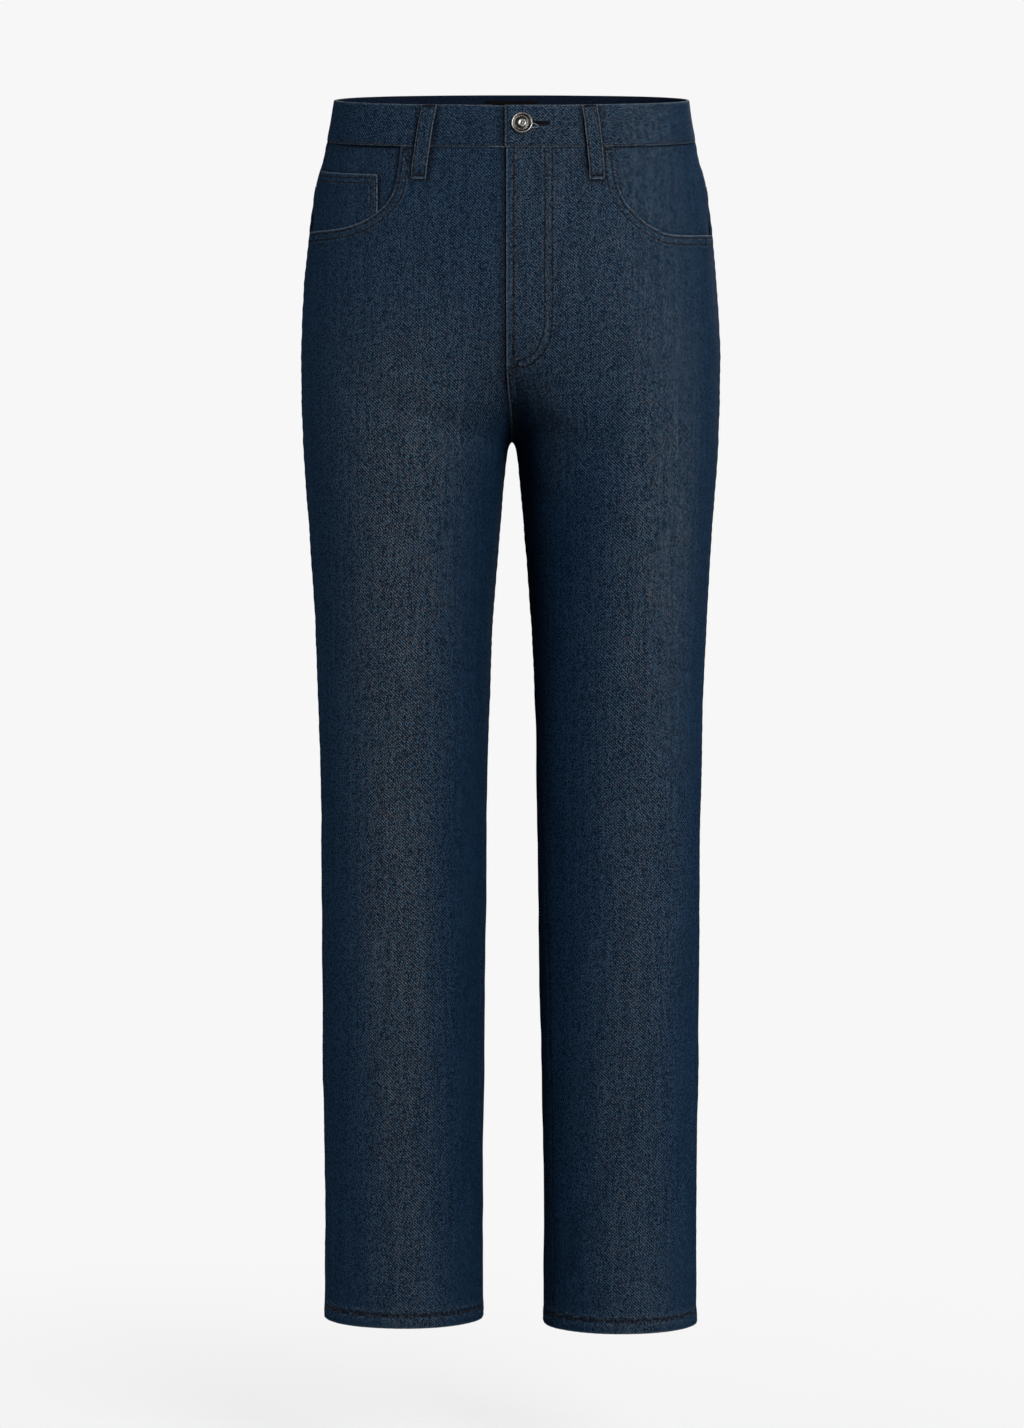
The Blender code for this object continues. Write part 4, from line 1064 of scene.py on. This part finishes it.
def loopOut(level, t, aside, number, marks=None):
    markRows(marks, aside, (loopForm["row"],))
    seat = mix(band["out"], 0.0, smoothStep(*loopForm["seat"], level))
    free = smoothStep(*loopForm["leaves"], t) * (1.0 - smoothStep(*loopForm["lands"], t))
    out = seat + jeans["gap"] + loopForm["standoff"] * free + loopForm["cloth"]
    fromFoot = (1 - t) * (loopForm["top"] - loopForm["bottom"])
    for (depth, width), distance in ((loopForm["rowGroove"], np.abs(aside) - loopForm["row"]),
                                     (loopForm["tackGroove"], fromFoot - loopForm["tackUp"])):
        out = out - depth * bump(distance, width)
    (rise, wide), (height, step, reach) = loopForm["ridge"], loopForm["waves"]
    return out + rise * bump(aside, wide) + height * ripple(level, step, number) * bump(aside, reach)


def beltLoop(number):
    side, (part, t) = loops[number][0], gridParts("beltLoop")
    level = mix(loopForm["top"], loopForm["bottom"], t)
    aside = (2 * part - 1) * loopForm["halfWidth"]
    run = loopMiddle(number, side, level, t) + aside
    t, aside = (np.broadcast_to(one, run.shape) for one in (t, aside))
    item = layCloth("belt_loop_%d" % number, side, run, level,
                    lambda side, run, level, marks: loopOut(level, t, aside, number, marks),
                    loopForm["cloth"], loopForm["worn"])


def label():
    part, down = gridParts("label", False)
    level = mix(labelForm["top"], labelForm["bottom"], down)
    run = wholeRun(1, level) + (2 * part - 1) * labelForm["halfWidth"]
    out = band["out"] - jeans["bandCloth"] - jeans["gap"]
    item = layCloth("label", 1, run, level, out, labelForm["cloth"], finish="label", slot="label_cloth")


# nodes; a kit adds them to one tree and gives their sockets
def addNode(tree, kind, inputs=None, **settings):
    node = tree.nodes.new(kind)
    for key, value in settings.items():
        setattr(node, key, value)
    for key, value in (inputs or {}).items():
        socket = node.inputs[key]
        if isinstance(value, bpy.types.NodeSocket):
            tree.links.new(value, socket)
        else:
            socket.default_value = value
    return node


class nodeKit:
    def __init__(self, tree):
        self.tree = tree

    def add(self, kind, inputs=None, output=0, **settings):
        return addNode(self.tree, kind, inputs, **settings).outputs[output]

    def math(self, operation, *values, clamp=False):
        return self.add("ShaderNodeMath", dict(enumerate(values)), operation=operation, use_clamp=clamp)

    def times(self, a, b, clamp=False):
        return self.math("MULTIPLY", a, b, clamp=clamp)

    def fused(self, a, b, c):
        return self.math("MULTIPLY_ADD", a, b, c)

    def apart(self, a, b):
        return self.math("ABSOLUTE", self.math("SUBTRACT", a, b))

    def blend(self, part, a, b):
        return self.add("ShaderNodeMix", {0: part, 6: a, 7: b}, 2, data_type="RGBA")

    def ramp(self, value, low, high, toLow=0.0, toHigh=1.0):
        return self.add("ShaderNodeMapRange", {0: value, 1: low, 2: high, 3: toLow, 4: toHigh},
                        interpolation_type="SMOOTHSTEP")

    def stretched(self, vector, x, y, z=1.0):
        return self.add("ShaderNodeVectorMath", {0: vector, 1: (x, y, z)}, operation="MULTIPLY")

    def noise(self, vector, detail=2.0, rough=0.5, scale=1.0):
        inputs = {"Vector": vector, "Scale": scale, "Detail": detail, "Roughness": rough}
        return self.add("ShaderNodeTexNoise", inputs)

    def clothNoise(self, x, y, detail=2.0, rough=0.5):
        return self.noise(self.stretched(self.onCloth(), x, y), detail, rough)

    def onCloth(self):
        return self.add("ShaderNodeUVMap", uv_map="cloth")

    def place(self):
        return self.add("ShaderNodeTexCoord", output="Object")

    def share(self, name):
        return self.add("ShaderNodeAttribute", output="Fac", attribute_name=name)

    def dress(self, shader, colour, height, strength, distance):
        bumped = self.add("ShaderNodeBump", {"Strength": strength, "Distance": distance, "Height": height})
        self.tree.links.new(colour, shader.inputs["Base Color"])
        self.tree.links.new(bumped, shader.inputs["Normal"])


# what repeats along a line: stitches, tacks, zip teeth, button dots
def repeatTree():
    tree = bpy.data.node_groups.new("repeatAlong", "GeometryNodeTree")
    kinds = {"Geometry": "Geometry", "Pitch": "Float", "Size": "Vector", "Variation": "Float", "Seed": "Int",
             "Thing": "Object", "Finish": "Material"}
    for name, kind in kinds.items():
        tree.interface.new_socket(name, in_out="INPUT", socket_type="NodeSocket" + kind)
    tree.interface.new_socket("Geometry", in_out="OUTPUT", socket_type="NodeSocketGeometry")
    given, add = addNode(tree, "NodeGroupInput").outputs, nodeKit(tree).add
    line = add("GeometryNodeMeshToCurve", {"Mesh": given["Geometry"]})
    places = add("GeometryNodeResampleCurve", {"Curve": line, "Length": given["Pitch"]}, mode="LENGTH")
    thing = add("GeometryNodeObjectInfo", {"Object": given["Thing"]}, "Geometry")
    surface = add("GeometryNodeInputNamedAttribute", {"Name": "surfaceNormal"}, data_type="FLOAT_VECTOR")
    upright = add("FunctionNodeAlignRotationToVector", {"Vector": surface}, axis="Z")
    tangent = add("GeometryNodeInputTangent")
    turned = add("FunctionNodeAlignRotationToVector", {"Rotation": upright, "Vector": tangent},
                 axis="X", pivot_axis="Z")
    low, high = (add("ShaderNodeMath", {0: 1.0, 1: given["Variation"]}, operation=kind)
                 for kind in ("SUBTRACT", "ADD"))
    random = add("FunctionNodeRandomValue", {2: low, 3: high, "Seed": given["Seed"]}, 1, data_type="FLOAT")
    scale = add("ShaderNodeVectorMath", {0: given["Size"], "Scale": random}, operation="SCALE")
    placed = add("GeometryNodeInstanceOnPoints",
                 {"Points": places, "Instance": thing, "Rotation": turned, "Scale": scale})
    solid = add("GeometryNodeRealizeInstances", {"Geometry": placed})
    addNode(tree, "NodeGroupOutput",
            {0: add("GeometryNodeSetMaterial", {"Geometry": solid, "Material": given["Finish"]})})
    return tree


def unitBead(name, segments, rings):
    # a round grain with its poles at either end of X
    shape = bmesh.new()
    bmesh.ops.create_uvsphere(shape, u_segments=segments, v_segments=rings, radius=1.0)
    mesh = meshOf(name, shape, Matrix.Rotation(math.pi / 2, 4, "Y"))
    mesh.shade_smooth()
    return bpy.data.objects.new(name, mesh)


def unitTooth(name):
    shape = bmesh.new()
    bmesh.ops.create_cube(shape, size=1.0)
    bmesh.ops.bevel(shape, geom=shape.edges[:], offset=0.12, segments=1, affect="EDGES")
    return bpy.data.objects.new(name, meshOf(name, shape))


repeats = repeatTree()
things = {"stitch": unitBead("stitch", 6, 5), "dot": unitBead("dot", 8, 6), "tooth": unitTooth("tooth")}


def repeatAlong(name, lines, thing, pitch, size, finish, variation=0.0, slot="denim"):
    # one thing at even steps along lines of (points, normals)
    points, normals = (np.concatenate([line[part] for line in lines]) for part in (0, 1))
    starts = np.cumsum([0] + [len(line[0]) for line in lines])
    edges = [(i, i + 1) for a, b in zip(starts, starts[1:]) for i in range(a, b - 1)]
    mesh = bpy.data.meshes.new(name)
    mesh.from_pydata(points.tolist(), edges, [])
    mesh.attributes.new("surfaceNormal", "FLOAT_VECTOR", "POINT").data.foreach_set("vector", normals.ravel())
    item = newObject(name, mesh)
    values = {"Pitch": pitch, "Size": size, "Variation": variation, "Seed": len(lines),
              "Thing": things[thing], "Finish": finishes[finish]}
    modifier = item.modifiers.new("repeat", "NODES")
    modifier.node_group = repeats
    for socket in repeats.interface.items_tree:
        if socket.in_out == "INPUT" and socket.name in values:
            modifier[socket.identifier] = values[socket.name]
    bakeModifiers(item)
    settle(item, None, slot)
    print("stage: %s, %d faces" % (name, len(item.data.polygons)))


# rows of thread, as (points, normals) lifted off the cloth
thread = {"step": 0.002, "inset": 0.001, "aboveCrotch": 0.003, "lift": 0.0001,
          "pitch": 0.003, "size": (0.00122, 0.00042, 0.00032), "variation": 0.1,
          "tackPitch": 0.00046, "tackSize": (0.0003, 0.001, 0.00034), "tackVariation": 0.12,
          "tackInset": 0.0006,
          "loop": ((0.0066, 0.0), (0.0098, -0.0005), (0.0128, -0.0022), (0.012, -0.0034), (0.0068, -0.004)),
          "loopPitch": 0.0005, "loopSize": (0.00045, 0.00028, 0.00028), "loopHeight": 0.001}
threadRows = {group: [] for group in ("waist", "front", "back", "legs", "tacks", "loop")}


def sew(group, side, run, level, outOf, deeper=0.0):
    out = outOf(side, run, level) if callable(outOf) else outOf
    threadRows[group].append(skinPoints(side, run, level, out + thread["lift"] - deeper))


def steps(start, end):
    return np.arange(start, end, math.copysign(thread["step"], end - start))


def between(start, end, step=0.001):
    start, end = np.array(start, float), np.array(end, float)
    count = max(2, round(np.linalg.norm(end - start) / step) + 1)
    return mix(start, end, np.linspace(0, 1, count)[:, None])


def sewFly():
    foot = fly["bottom"]
    level = steps(panelTop - thread["inset"], foot + thread["step"])
    rows = [(frontEdge(1, level) + fly["edgeRow"], level)]
    level = steps(foot, crotch + thread["aboveCrotch"])
    rows += [(frontEdge(1, level) + away, level) for away in fly["crotchRows"]]
    for run, level in rows + [flyRow(offset).T for offset in (0.0, fly["rowsApart"])]:
        sew("front", 1, run, level, frontOut)
    sew("tacks", 1, *between((-0.0015, foot - 0.0008), (0.007, foot + 0.0006)).T, frontOut)


def sewMouth(side):
    line = scoopLine(side)
    for away in scoopRows:
        sew("front", side, *shiftLine(line, away)[2:-1].T, frontOut)
    reach = scoopRows[0] + thread["tackInset"], scoopRows[1] - thread["tackInset"]
    for spot in (line[3:5], line[-6:-4]):
        sew("tacks", side, *between(*(shiftLine(spot, away)[0] for away in reach)).T, frontOut)


def sewCoin():
    top, rows, sideRows = mouth["coinTop"], mouth["coinTopRows"], mouth["coinSideRows"]
    for away in rows:
        run = steps(float(coinInner(top - away)) + sideRows[0], ringAt(-1, top)["seam"])
        sew("front", -1, run, np.full(run.shape, top - away), coinOut)
    level = steps(top - rows[0], top - mouth["coinRowLength"])
    for away in sideRows:
        sew("front", -1, coinInner(level) + away, level, coinOut)


def sewBack(side):
    part, foot = np.linspace(0.004, 0.996, 90), yokeForm["atBack"]
    for away in yokeForm["rows"]:
        level = yokeLevel(part) - jeans["gap"] - away
        sew("back", side, backRun(side, level, part), level, backOut)
        if side > 0:
            for start, end, outOf in ((panelTop - thread["inset"], foot + thread["inset"], yokeOut),
                                      (foot - thread["step"], crotch + thread["aboveCrotch"], backOut)):
                level = steps(start, end)
                sew("back", side, wholeRun(side, level) - away, level, outOf)


def sewPatch(side):
    def row(group, across, t):
        run, level = patchSpot(side, across, t)
        sew(group, side, run, level, patchOut(run, level, across, t))

    for away in patch["rows"]:
        wide = 1 - away / patch["halfWidth"]
        foot = 1 - away / (patch["footPart"] * patch["height"])
        down, over = np.linspace(0.004, foot, 50), np.linspace(-wide, wide, 61)
        across = np.concatenate((np.full(50, -wide), over, np.full(50, wide)))
        row("back", across, np.concatenate((down, np.full(61, foot), down[::-1])))
    across = np.linspace(-0.985, 0.985, 60)
    row("back", across, patch["hemRow"] / patchLength(across))
    for corner in (-1, 1):
        row("tacks", np.linspace(0.985, 0.905, 8) * corner, np.full(8, 0.014))


def sewHem(side):
    level = round(legs[side]["hem"] + relief["hemRow"], 5)
    seam, whole = ringAt(side, level)["seam"], ringAt(side, level)["whole"]
    swing = float(inseamSwing(side, level))
    for start, end, outOf in ((swing, seam, frontOut), (seam, whole + swing, backOut)):
        run = steps(start + thread["inset"], end - thread["inset"])
        sew("legs", side, run, np.full(run.shape, level), outOf)


def sewBand():
    def row(way, level, deeper=0.0):
        sew("waist", *bandPlace(way, level), level, bandOut(way, level), deeper)

    # one row shows outside and one inside, the last closes the lap's end
    way = steps(0.008, bandTotal - thread["step"])
    for places, deeper in ((way, 0.0), (way[20:-20], jeans["bandCloth"] + 2 * thread["lift"])):
        row(places, np.full(places.shape, -band["row"]), deeper)
    level = steps(-0.0016, bandBottom + 0.0016)
    row(np.full(level.shape, bandTotal - band["endRow"]), level)


def sewLoops():
    def row(group, number, t, aside):
        side = loops[number][0]
        t, aside = np.broadcast_arrays(t, aside)
        level = mix(loopForm["top"], loopForm["bottom"], t)
        sew(group, side, loopMiddle(number, side, level, t) + aside, level, loopOut(level, t, aside, number))

    length = loopForm["top"] - loopForm["bottom"]
    for number in loops:
        for aside in (-loopForm["row"], loopForm["row"]):
            row("waist", number, np.linspace(0.02, 0.98, 30), aside)
        for t in (0.012, 1 - loopForm["tackUp"] / length):
            row("tacks", number, t, np.linspace(-0.0048, 0.0048, 14))


def sewButtonhole():
    # thread round the eyelet and along both lips of the slit
    radius, end = button["eyelet"] + 0.0007, button["slitLength"]
    lip = button["slitHeight"] / 2 + thread["tackInset"]
    turn = np.linspace(0.25, 2 * math.pi - 0.25, 40)
    over = np.linspace(end, radius, 16)
    across = np.concatenate((over, radius * np.cos(turn), over[::-1], (end + thread["tackInset"], end)))
    up = np.concatenate((np.full(16, lip), radius * np.sin(turn), np.full(16, -lip), (0.0, lip)))
    sew("tacks", 1, button["across"] + across, button["level"] + up, band["out"])
    across, up = smoothThrough(thread["loop"], 8).T
    sew("loop", 1, button["across"] + across, button["level"] + up, band["out"] + thread["loopHeight"])


# finishes; a yarn's width and its float's length, and how far each twill float
# is shifted from the one beside it
denim = {
    "yarn": 0.00066, "float": 0.0025, "twillStep": 0.25, "rowWidth": 0.00125, "bump": 0.00022,
    "deep": (0.003, 0.011, 0.028, 1.0), "deepPale": (0.023, 0.066, 0.132, 1.0),
    # the faded colours also paint a highlight band on the legs and hips
    "faded": (0.004, 0.0115, 0.025, 1.0), "fadedPaleAndHighlight": (0.11, 0.185, 0.262, 1.0),
    "brown": (0.158, 0.158, 0.164, 1.0), "worn": (0.18, 0.23, 0.29, 1.0),
    # groove: the colour of painted shade in stitch grooves and beside edges lying on the cloth
    "groove": (0.004, 0.0054, 0.01, 1.0), "insideWeft": (0.15, 0.16, 0.175, 1.0),
    # the band's inside: its indigo face, painted darker as shade
    "bandInsideShade": (0.0045, 0.008, 0.02, 1.0),
}


def newMaterial(name, **settings):
    material = bpy.data.materials.new(name)
    material.use_nodes = True
    shader = material.node_tree.nodes["Principled BSDF"]
    for key, value in settings.items():
        shader.inputs[key.replace("_", " ")].default_value = value
    return material, nodeKit(material.node_tree), shader


def denimMaterial(name, crossGrain=False):
    # the band is cut across the grain, and doubled, so its inside is a face too
    material, kit, shader = newMaterial(name, Roughness=0.75, Specular_IOR_Level=0.03)
    times, fused, ramp, blend = kit.times, kit.fused, kit.ramp, kit.blend
    spot = addNode(kit.tree, "ShaderNodeSeparateXYZ", {0: kit.onCloth()}).outputs
    across, along = (spot[1], spot[0]) if crossGrain else (spot[0], spot[1])
    warble = kit.clothNoise(120.0, 120.0)
    across, along = fused(warble, 0.0012, across), fused(warble, -0.0014, along)
    # each warp yarn's floats: which one, and how far along it
    yarnAt = times(across, 1.0 / denim["yarn"])
    yarnCount = kit.math("FLOOR", yarnAt)
    floatAt = fused(along, 1.0 / denim["float"], times(yarnCount, denim["twillStep"]))
    cell = kit.add("ShaderNodeCombineXYZ", {0: yarnCount, 1: kit.math("FLOOR", floatAt)})
    random = kit.add("ShaderNodeTexWhiteNoise", {"Vector": cell}, 1, noise_dimensions="2D")
    tone, hue, _ = addNode(kit.tree, "ShaderNodeSeparateColor", {0: random}).outputs
    weft = ramp(kit.apart(kit.math("FRACT", floatAt), 0.5), 0.05, 0.28, 1.0, 0.0)
    rounded = ramp(kit.apart(kit.math("FRACT", yarnAt), 0.5), 0.20, 0.50, 1.0, 0.0)
    grain = kit.clothNoise(1000.0, 900.0, 1.0)
    streak, patchy = kit.clothNoise(230.0, 9.0, 3.0, 0.6), kit.clothNoise(46.0, 30.0, 3.0, 0.55)
    weave = times(fused(weft, 0.55, 0.18), fused(tone, 1.1, 0.25))
    weave = fused(ramp(grain, 0.38, 0.64), 0.50, weave)
    weave = ramp(times(weave, ramp(streak, 0.30, 0.72, 0.90, 1.10)), 0.30, 1.15)
    # fade: real fading and a painted highlight band; the pale mix below carries that highlight
    fade = times(kit.share("fade"), ramp(patchy, 0.30, 0.70, 0.88, 1.10), clamp=True)
    fadedAndHighlightPale = blend(ramp(hue, 0.35, 0.75), denim["fadedPaleAndHighlight"], denim["brown"])
    dark, pale = blend(fade, denim["deep"], denim["faded"]), blend(fade, denim["deepPale"], fadedAndHighlightPale)
    colour = blend(weave, dark, pale)
    # rows of thread lie in grooves darkened by painted shade and by their unworn dye, and ridges between
    # them are worn pale
    rows = kit.math("MINIMUM", *(kit.apart(kit.share(key), rowForm[place])
                                 for key, place in (("pairedRows", "paired"), ("loneRow", "lone"))))
    groove = ramp(rows, 0.0, denim["rowWidth"], 1.0, 0.0)
    colour = blend(times(groove, 0.92), colour, denim["groove"])
    # painted shadow, in the groove colour, where the shade attribute marks it
    colour = blend(kit.share("shade"), colour, denim["groove"])
    beside = ramp(kit.clothNoise(430.0, 430.0, 2.0, 0.6), 0.48, 0.62, 0.0, 0.16)
    colour = blend(times(ramp(rows, 0.0008, 0.003, 1.0, 0.0), beside), colour, denim["worn"])
    rubbing = ramp(kit.clothNoise(520.0, 520.0, 2.0, 0.6), 0.36, 0.62, 0.15, 0.90)
    colour = blend(times(kit.share("wear"), rubbing), colour, denim["worn"])
    inside = kit.share("inside")
    if crossGrain:
        # the doubled band's inside shows indigo, painted darker as shade
        colour = blend(times(inside, 0.85), colour, denim["bandInsideShade"])
    else:
        colour = blend(times(inside, times(weave, 0.9), clamp=True), colour, denim["insideWeft"])
    height = fused(grain, 0.35, fused(weft, 0.35, times(rounded, 0.6)))
    kit.dress(shader, colour, fused(groove, -1.6, height), 0.75, denim["bump"])
    return material


def threadMaterial(name, dark, pale):
    material, kit, shader = newMaterial(name, Roughness=0.6, Specular_IOR_Level=0.08)
    tone = kit.noise(kit.place(), 2.0, 0.5, 420.0)
    twist = kit.add("ShaderNodeTexWave", {"Vector": kit.place(), "Scale": 900.0, "Distortion": 2.0}, 1)
    kit.dress(shader, kit.blend(kit.ramp(tone, 0.38, 0.62), dark, pale), twist, 0.5, 0.0001)
    return material


def wovenMaterial(name, dark, pale, pitch):
    # close plain weave of the label and the zip's tape
    material, kit, shader = newMaterial(name, Roughness=0.7, Specular_IOR_Level=0.06)
    turns = kit.stretched(kit.onCloth(), 2 * math.pi / pitch, 2 * math.pi / pitch)
    spot = addNode(kit.tree, "ShaderNodeSeparateXYZ", {0: turns}).outputs
    weave = kit.times(kit.math("SINE", spot[0]), kit.math("SINE", spot[1]))
    tone = kit.fused(weave, 0.3, kit.clothNoise(900.0, 900.0))
    kit.dress(shader, kit.blend(kit.ramp(tone, 0.3, 0.8), dark, pale), weave, 0.6, 0.0001)
    return material


def metalMaterial(name):
    material, kit, shader = newMaterial(name, Metallic=1.0)
    cloudy, fine = kit.noise(kit.place(), 4.0, 0.6, 900.0), kit.noise(kit.place(), 2.0, 0.6, 5200.0)
    colour = kit.blend(kit.ramp(cloudy, 0.35, 0.65), (0.31, 0.30, 0.29, 1.0), (0.58, 0.56, 0.53, 1.0))
    darkened = kit.times(kit.share("recess"), kit.ramp(cloudy, 0.30, 0.70, 0.98, 0.86))
    kit.dress(shader, kit.blend(darkened, colour, (0.022, 0.019, 0.018, 1.0)), fine, 0.25, 0.00005)
    kit.tree.links.new(kit.ramp(fine, 0.3, 0.7, 0.26, 0.42), shader.inputs["Roughness"])
    return material


finishes = {
    "body": denimMaterial("denim_body"),
    "band": denimMaterial("denim_band", True),
    "thread": threadMaterial("topstitch_thread", (0.005, 0.006, 0.01, 1.0), (0.026, 0.021, 0.021, 1.0)),
    "tack": threadMaterial("tack_thread", (0.004, 0.005, 0.01, 1.0), (0.014, 0.014, 0.02, 1.0)),
    "pale": threadMaterial("pale_thread", (0.2, 0.23, 0.26, 1.0), (0.42, 0.45, 0.48, 1.0)),
    "label": wovenMaterial("label_weave", (0.002, 0.002, 0.0028, 1.0), (0.0055, 0.0055, 0.007, 1.0), 0.0006),
    "tape": wovenMaterial("zip_tape_weave", (0.006, 0.009, 0.016, 1.0), (0.016, 0.022, 0.036, 1.0), 0.0009),
    "metal": metalMaterial("nickel"),
}
print("stage: finishes made")


def zipTeeth():
    lines = []
    for shift in (-zipForm["teethApart"], zipForm["teethApart"]):
        level = steps(panelTop - 0.004, fly["zipBottom"] + 0.006) - shift / 2
        lines.append(skinPoints(1, zipForm["teethAt"] + shift, level, zipForm["out"] + 0.0003))
    repeatAlong("zip_teeth", lines, "tooth", zipForm["toothPitch"], zipForm["toothSize"], "metal",
                slot="button_metal")


def buttonDots():
    ring, place = button["radius"] * button["dotRing"], buttonFrame()
    height = button["back"] + button["dotHeight"]
    turns = np.linspace(0, 2 * math.pi, 4 * button["dots"] + 1)
    points = np.array([place @ Vector((ring * math.cos(a), ring * math.sin(a), height)) for a in turns])
    out = np.array(place.to_3x3() @ Vector((0, 0, 1)))
    pitch, size = 2 * math.pi * ring / button["dots"], (button["dotRadius"],) * 3
    repeatAlong("button_dots", [(points, np.tile(out, (len(points), 1)))], "dot", pitch, size, "metal",
                slot="button_metal")


# the jeans sewn together
for legSide in (-1, 1):
    for make in (frontPanel, backPanel, yoke, pocketFacing, backPocket, sewMouth, sewBack, sewPatch, sewHem):
        make(legSide)
for make in (coinPocket, flyShield, zipTape, waistband):
    make()
for loopNumber in loops:
    beltLoop(loopNumber)
for make in (label, makeButton, sewFly, sewCoin, sewBand, sewLoops, sewButtonhole):
    make()
for group in ("waist", "front", "back", "legs"):
    repeatAlong("stitches_" + group, threadRows[group], "stitch", thread["pitch"], thread["size"],
                "thread", thread["variation"])
repeatAlong("bar_tacks", threadRows["tacks"], "stitch", thread["tackPitch"], thread["tackSize"],
            "tack", thread["tackVariation"])
repeatAlong("thread_loop", threadRows["loop"], "stitch", thread["loopPitch"], thread["loopSize"], "pale")
zipTeeth()
buttonDots()
for thing in things.values():
    bpy.data.objects.remove(thing)

# studio: pale floor and surroundings, soft lamps, camera
studio = {
    "floor": -1.135, "floorRadius": 2.2, "pale": 0.93, "fill": 0.05,
    "camera": (0.0, -4.0, -0.31), "aim": (0.0, 0.0, -0.505), "lens": 122.17,
    "lamps": (
        # name, place, aim, width, height, watts
        ("front_window", (1.5, -2.95, 0.85), (0.0, 0.0, -0.33), 1.5, 1.6, 98.0),
        ("left_window", (-3.0, -1.4, 0.4), (0.0, 0.0, -0.35), 1.2, 1.6, 13.0),
        ("right_rim", (3.0, 0.4, 0.3), (0.0, 0.0, -0.4), 1.2, 2.2, 34.0),
        ("left_rim", (-3.0, 0.3, 0.1), (0.0, 0.0, -0.45), 1.0, 2.2, 30.0),
        ("back_window", (0.6, 3.4, 1.2), (0.0, 0.0, -0.45), 2.2, 2.2, 95.0),
    ),
}


def lookAt(item, place, aim):
    item.location = place
    item.rotation_euler = (Vector(aim) - Vector(place)).to_track_quat("-Z", "Y").to_euler()


def paleWorld():
    # pale behind the object, and dimmer as a lamp
    world = bpy.data.worlds.new("pale_studio")
    world.use_nodes = True
    bpy.context.scene.world = world
    kit, surround = nodeKit(world.node_tree), world.node_tree.nodes["Background"]
    seen = kit.add("ShaderNodeLightPath", output="Is Camera Ray")
    surround.inputs["Color"].default_value = (1.0, 1.0, 1.0, 1.0)
    kit.tree.links.new(kit.ramp(seen, 0.0, 1.0, studio["fill"], studio["pale"]), surround.inputs["Strength"])


def paleFloor():
    # a pale disc that fades out into the surroundings
    shape = bmesh.new()
    bmesh.ops.create_circle(shape, cap_ends=True, segments=96, radius=studio["floorRadius"])
    mesh = meshOf("floor", shape, Matrix.Translation((0, 0, studio["floor"])))
    material, kit, surface = newMaterial("floor_pale", Base_Color=(0.9, 0.9, 0.9, 1.0), Roughness=0.9)
    radius = kit.add("ShaderNodeVectorMath", {0: kit.stretched(kit.place(), 1.0, 1.0, 0.0)}, "Value",
                     operation="LENGTH")
    fade = kit.ramp(radius, 0.10, studio["floorRadius"] * 0.6, 0.72, 1.0)
    clear = kit.add("ShaderNodeBsdfTransparent")
    mixed = kit.add("ShaderNodeMixShader", {0: fade, 1: surface.outputs[0], 2: clear})
    kit.tree.links.new(mixed, kit.tree.nodes["Material Output"].inputs["Surface"])
    mesh.materials.append(material)
    newObject("floor", mesh)


for name, place, aim, width, height, watts in studio["lamps"]:
    lamp = bpy.data.lights.new(name, "AREA")
    lamp.shape, lamp.size, lamp.size_y, lamp.energy = "RECTANGLE", width, height, watts
    lampObject = newObject(name, lamp)
    lampObject.visible_camera = False
    lookAt(lampObject, place, aim)
paleWorld()
paleFloor()
cameraData = bpy.data.cameras.new("camera")
cameraData.lens, cameraData.sensor_width = studio["lens"], 36.0
camera = newObject("camera", cameraData)
lookAt(camera, studio["camera"], studio["aim"])
bpy.context.scene.camera = camera
bpy.context.scene.view_settings.view_transform = "Standard"
print("stage: studio set")
